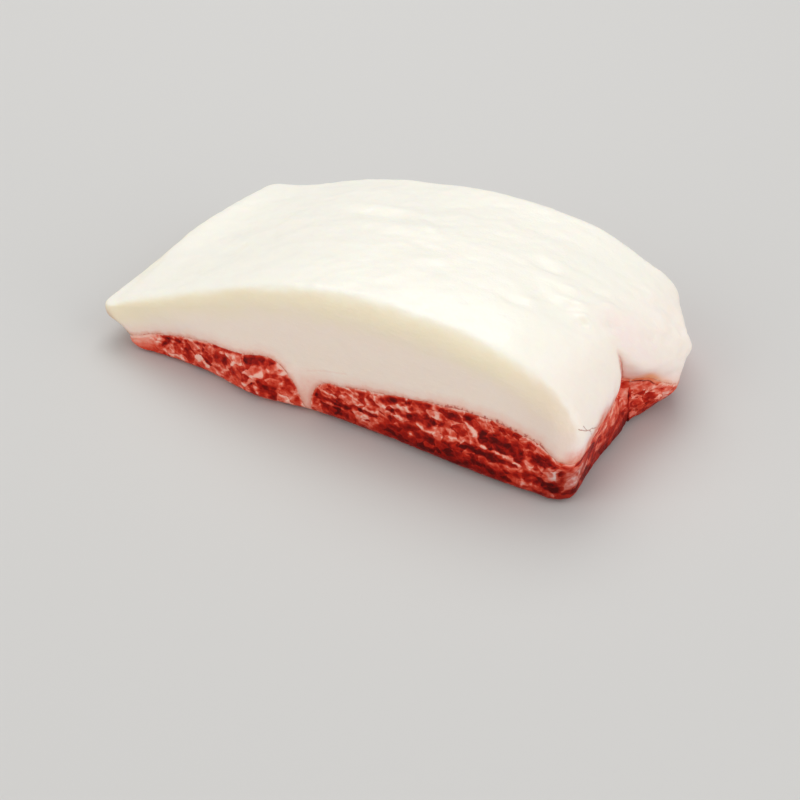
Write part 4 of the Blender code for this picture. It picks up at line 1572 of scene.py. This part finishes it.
@dataclass
class Lean:
    """One muscle, cut from the lower part of the loin."""

    form: LoinForm
    muscle: Muscle
    finish: LeanFinish
    marbling: Marbling = field(default_factory=Marbling)
    relief: Relief = Relief(depth=0.09, size=0.9, stretch=(0.7, 0.6, 1.0), seed=11)
    sharp: float = 50.0
    # raised and sunken tissue, fibres and soft swells
    pale_rise: float = 0.16
    dark_sink: float = 0.14
    groove_sink: float = 0.12
    fibre: float = 0.16
    ragged_fibre: float = 0.16
    fibres: Swells = Swells(1.0, (1.5, 2.4, 1.0), 2.2)
    bundles: Swells = Swells(0.22, (5.5, 7.0, 3.6), 6.4)
    # patterns that break the strokes up
    block_size: Triple = (3.6, 4.5, 3.0)
    thread_size: Triple = (1.3, 1.6, 1.1)
    patch_size: Triple = (4.4, 4.8, 3.4)
    nose_patch: Swells = Swells(1.0, (6, 9, 4), 21.3)
    groove_wave: Swells = Swells(0.35, (2.0, 2.0, 2.6), 14.2)
    # foot of the nose, drawn up to a taper
    taper: float = 2.2
    taper_along: Span = (-143.0, -131.0)
    taper_up: Span = (0.0, 4.5)

    def top(self) -> Callable[[Array, Array], Array]:
        """Height of this muscle over x, y."""
        return self.form.rib_top if self.muscle is Muscle.RIB else self.form.eye_top

    def tissue(self, points: Array, normals: Array) -> tuple[Array, Array]:
        """Cover of pale and dark tissue at each point.

        Args:
            points: places in millimetres.
            normals: outward directions there.

        Returns:
            Two arrays from 0 to 1.
        """
        x, y, z = points.T
        drawn = self.marbling
        blocks = [grain(points, self.block_size, seed) for seed in (1.7, 9.3)]
        threads = [grain(points, self.thread_size, seed) for seed in (4.1, 6.9)]
        # long cut faces: the strokes lie over x and z and bend as they run through the loin
        inner = ease(2, 60, y)
        u = x + inner * (3.0 * np.sin(y / 21) + 2.0 * np.sin(y / 9 + x / 17))
        v = z * (1 + 0.16 * inner) + inner * 0.9 * np.sin(y / 13 + x / 11)
        u = u + 1.5 * blocks[0] + 0.6 * threads[0]
        v = v + 0.9 * blocks[1] + 0.5 * threads[1]
        end = ease(0.35, 0.75, normals[:, 0] + 0.45 * ease(46, 56, y)) * ease(48, 56, x)
        front = (1 - end) * (1 - ease(20, 40, y) * ease(40, 52, x))
        pale = covered(drawn.front_pale, u, v) * front
        dark = covered(drawn.front_dark, u, v) * front
        nose = ease(6, 16, y) * (1 - ease(-136, -124, x))
        pale *= 1 - 0.85 * nose * ease(-0.25, 0.15, self.nose_patch.at(points))
        # right end: the strokes lie over y and z and are broken into patches
        w = y + 1.5 * blocks[0] + 0.6 * threads[0]
        h = z + 1.2 * blocks[1] + 0.4 * threads[1]
        broken = ease(4, 12, y) * (1 - ease(50, 56, y))
        found = []
        for drawn_end, share, seed in ((drawn.end_pale, 0.60, 12.4), (drawn.end_dark, 0.50, 17.9)):
            patch = ease(-0.20, 0.14, grain(points, self.patch_size, seed))
            found.append(end * covered(drawn_end, w, h) * (1 - share * broken * (1 - patch)))
        return np.maximum(pale, found[0]), np.maximum(dark, found[1])

    def from_wall(self, x: Array, y: Array) -> Array:
        """Distance in millimetres from the wall that parts eye and flap."""
        (ax, ay), (bx, by) = self.form.flap_wall
        return np.abs((x - ax) * (by - ay) - (y - ay) * (bx - ax)) / math.hypot(bx - ax, by - ay)

    def below_fat(self, points: Array) -> Array:
        """Distance in millimetres from the muscle's upper side.

        Args:
            points: places in millimetres.

        Returns:
            The distance at each point.
        """
        x, y, z = points.T
        top, d = self.top(), 0.2
        along = (top(x + d, y) - top(x - d, y)) / (2 * d)
        across = (top(x, y + d) - top(x, y - d)) / (2 * d)
        return np.clip((top(x, y) - z) / np.sqrt(1 + np.hypot(along, across) ** 2), 0.0, 20.0)

    def marks(self, obj: bpy.types.Object) -> None:
        """Work out the tissue, the distance from the fat and the relief.

        Args:
            obj: the piece, in the loin's own frame and in millimetres.
        """
        mesh = obj.data
        points, normals = read_points(mesh), read_normals(mesh)
        drawn_up = (1 - ease(*self.taper_along, points[:, 0])) * (1 - ease(*self.taper_up, points[:, 2]))
        points[:, 2] += self.taper * drawn_up
        x, y, z = points.T
        depth = self.below_fat(points)
        pale, dark = self.tissue(points, normals)
        # relief: tissue, the groove between eye and flap, fibres and bundles
        shown = ease(0.05, 0.7, depth) * ease(0.3, 2.0, z) * (1 - ease(0.8, 0.99, np.abs(normals[:, 2])))
        ragged = bell(depth, 1.6, 2.2) * ease(8, 20, x) * (1 - ease(56, 62, x))
        width = 0.45 + self.groove_wave.at(points)
        groove = 0.75 * bell(self.from_wall(x, y) / width, 0.0, 1.0) * ease(50, 54, x) * (1 - ease(11, 18, z))
        pale, dark = pale * (1 - groove), np.maximum(dark, groove)
        lift = self.pale_rise * pale - self.dark_sink * dark - self.groove_sink * groove
        lift += (self.fibre + self.ragged_fibre * ragged) * self.fibres.at(points)
        lift += self.bundles.at(points)
        write_points(mesh, points + normals * (lift * shown)[:, None])
        # zones that are lighter, darker, cooler or smoother, with painted light and painted shade among them
        end = ease(0.35, 0.75, normals[:, 0]) * ease(48, 56, x)
        flap = end * (y > 56) * ease(6, 11, z)
        foot = (1 - ease(2.0, 9.5, z)) * ease(-50, -34, x)
        left = (1 - ease(-6, 18, x)) * ease(-48, -46, x)
        corner = bell(x, 62, 7) * (1 - ease(13, 18, z)) * (1 - ease(8, 18, y))
        tip = (1 - ease(-131, -122, x)) * (1 - 0.8 * ease(6, 16, y))
        # painted shade darkens the foot, painted light brightens the right end and the flap, and the left of
        # the eye is lighter
        shade = 0.07 * left - 0.15 * foot + end * (0.10 + 0.08 * ease(14, 30, y)) + 0.08 * flap
        # cool: the corner's own pale tissue, and painted shade at the foot and on the low part of the right
        # end
        cool = 0.95 * corner + 0.60 * foot + 0.45 * end * (1 - ease(7, 14, z))
        set_marks(mesh, edge=depth, pale=pale, dark=dark, glow=0.95 * bell(y, 62.5, 6.5) * ease(50, 56, x),
                  spiked=ease(2, 14, x) * (1 - ease(52, 58, x)), shade=shade, cool=np.clip(cool, 0, 1),
                  smooth=np.clip(0.9 * tip + 0.40 * foot + 0.38 * end, 0, 0.9), relief=shown)

    def build(self, carver: Carver, body: bpy.types.Object, core: bpy.types.Object) -> bpy.types.Object:
        """Cut the muscle from the body of lean and dress it.

        Args:
            carver: cuts the pieces.
            body: the whole loin, finely divided near its foot.
            core: the space of this muscle.

        Returns:
            The finished piece.
        """
        node, slot = self.muscle.value
        obj = carver.twin(body, "loin_" + node)
        carver.cut(obj, core, Cut.KEEP_INSIDE)
        carver.clean(obj)
        self.marks(obj)
        write_points(obj.data, self.form.to_row(read_points(obj.data)))
        self.relief.apply(obj, self.finish.make(slot))
        return finish_piece(obj, node, self.sharp)


@dataclass
class Loin:
    """The whole loin: one cap of fat and three muscles."""

    form: LoinForm = FORM
    lean_step: float = 0.45
    upper_stations: tuple[float, ...] = (34.0, 40.0)
    lean_level: float = 30.0
    edge_step: float = 0.8
    rough_step: float = 2.4
    rough_zones: tuple[Triple, ...] = ((-10.0, 3.0, 1.2), (110.0, 124.0, 1.2))
    rib_far: float = -190.0
    rib_zone: Triple = (-62.0, -48.4, 0.4)
    eye_far: float = 110.0
    eye_zone: Triple = (-48.0, -44.0, 0.25)
    finishes: dict[Muscle, LeanFinish] = field(default_factory=lambda: {
        Muscle.RIB: LeanFinish(base=0.46, seed=2.0, block=(5.0, 5.0, 3.8)),
        Muscle.EYE: LeanFinish(),
        Muscle.FLAP: LeanFinish(base=0.50, seed=6.0, block=(5.2, 5.2, 4.0))})

    def body(self, carver: Carver) -> bpy.types.Object:
        """The loin divided finely near its foot, for the muscles.

        Args:
            carver: cuts the pieces.

        Returns:
            A closed object.
        """
        f, s = self.form, self.lean_step
        high = np.concatenate([stations(0.0, self.lean_level, s), self.upper_stations, [f.level]])
        return carver.whole("lean_body", Lattice(stations(f.nose_x, f.end_x, s),
                                                 stations(f.front_y, f.back_y, s), high))

    def blocks(self, carver: Carver, kind: str, lift: float) -> list[bpy.types.Object]:
        """Blocks under the upper sides of the rib muscle and of the eye with the flap.

        Args:
            carver: cuts the pieces.
            kind: end of the blocks' names.
            lift: how far they stand out from the muscles.

        Returns:
            The rib's block and the eye's.
        """
        f, s = self.form, self.edge_step
        low, high = f.front_y - carver.rim, f.back_y + carver.rim
        rib_along = stations(self.rib_far, f.rib_end, s, (self.rib_zone,))
        eye_along = stations(f.eye_start, self.eye_far, s, (self.eye_zone,))
        rough = stations(low, high, self.rough_step, self.rough_zones)
        return [carver.envelope("rib_" + kind, f.rib_top, rib_along, rough, lift),
                carver.envelope("eye_" + kind, f.eye_top, eye_along, stations(low, high, s), lift)]

    def build(self) -> list[bpy.types.Object]:
        """Build all four pieces and remove what they were cut with.

        Returns:
            The finished pieces, the cap first.
        """
        carver = Carver(self.form)
        rib, eye = self.blocks(carver, "core", 0.0)
        rooms = self.blocks(carver, "room", carver.gap)
        flap = carver.twin(eye, "flap_core")
        half = carver.gap / 2
        walls = [carver.flap_block("eye_wall", -half), carver.flap_block("flap_wall", half)]
        carver.cut(eye, walls[0], Cut.TAKE_AWAY)
        carver.cut(flap, walls[1], Cut.KEEP_INSIDE)
        cores = {Muscle.RIB: rib, Muscle.EYE: eye, Muscle.FLAP: flap}
        body = self.body(carver)
        pieces = [FatCap(self.form).build(carver, rooms)]
        pieces += [Lean(self.form, m, self.finishes[m]).build(carver, body, cores[m]) for m in Muscle]
        for spare in [body, *cores.values(), *rooms, *walls]:
            bpy.data.objects.remove(spare, do_unlink=True)
        return pieces


# ---- the studio --------------------------------------------------------------
@dataclass(frozen=True)
class Lamp:
    """Square soft light: its name, place, side in metres, power in watts and colour."""

    name: str
    place: Triple
    size: float
    power: float
    colour: Triple

    def build(self, target: Vector) -> None:
        """Hang the light so that it looks at the target.

        Args:
            target: the point it looks at.
        """
        lamp = bpy.data.lights.new(self.name, "AREA")
        lamp.size, lamp.energy, lamp.color = self.size, self.power, self.colour
        obj = add_object(self.name, lamp)
        obj.location = self.place
        obj.rotation_euler = (target - Vector(self.place)).to_track_quat("-Z", "Y").to_euler()


@dataclass
class Studio:
    """Pale floor, soft lights around the loin, and the camera."""

    camera_at: Triple = (0.3343, -0.5171, 0.3727)
    camera_turn: Triple = (57.17, 0.0, 33.0)
    lens: float = 78.75
    floor_half: float = 6.0
    floor_colour: Tone = (206, 205, 202)
    floor_roughness: float = 0.7
    sky: float = 0.52
    sky_colour: tuple[float, ...] = (0.97, 0.98, 1.0, 1.0)
    target: Triple = (0.0, 0.0, 0.02)
    lamps: tuple[Lamp, ...] = (
        Lamp("light_above", (-0.5, 0.68, 1.25), 1.1, 10.0, (1.0, 0.99, 0.98)),
        Lamp("light_right", (1.1, 0.1, 0.7), 0.8, 2.6, (1.0, 0.98, 0.98)),
        Lamp("light_front", (-0.5, -1.2, 0.7), 1.2, 6.0, (1.0, 0.98, 0.96)),
        Lamp("light_low", (1.2, -0.25, 0.12), 0.7, 4.2, (1.0, 0.98, 0.98)))

    def floor(self) -> None:
        """A plain pale floor."""
        h = self.floor_half
        corners = np.array(((-h, -h, 0.0), (h, -h, 0.0), (h, h, 0.0), (-h, h, 0.0)))
        obj = add_mesh("floor", corners, np.array(((0, 1, 2, 3),)))
        paint = Paint("floor")
        paint.constant(Base_Color=linear(*self.floor_colour), Roughness=self.floor_roughness)
        obj.data.materials.append(paint.material)

    def camera(self) -> None:
        """The camera at the angle of the photograph."""
        data = bpy.data.cameras.new("camera")
        data.lens = self.lens
        obj = add_object("camera", data)
        obj.location = self.camera_at
        obj.rotation_euler = [math.radians(a) for a in self.camera_turn]
        bpy.context.scene.camera = obj

    def build(self) -> None:
        """Set up the floor, the lights, the sky and the camera."""
        self.floor()
        for lamp in self.lamps:
            lamp.build(Vector(self.target))
        world = bpy.data.worlds.new("studio")
        world.use_nodes = True
        background = world.node_tree.nodes["Background"].inputs
        background["Color"].default_value = self.sky_colour
        background["Strength"].default_value = self.sky
        bpy.context.scene.world = world
        bpy.context.scene.view_settings.view_transform = "Standard"
        self.camera()


def main() -> None:
    """Build the loin and the studio, and report each piece."""
    logging.basicConfig(level=logging.INFO, format="%(name)s: %(message)s")
    pieces = Loin().build()
    LOG.info("%d pieces", len(pieces))
    Studio().build()


if __name__ == "__main__":
    main()
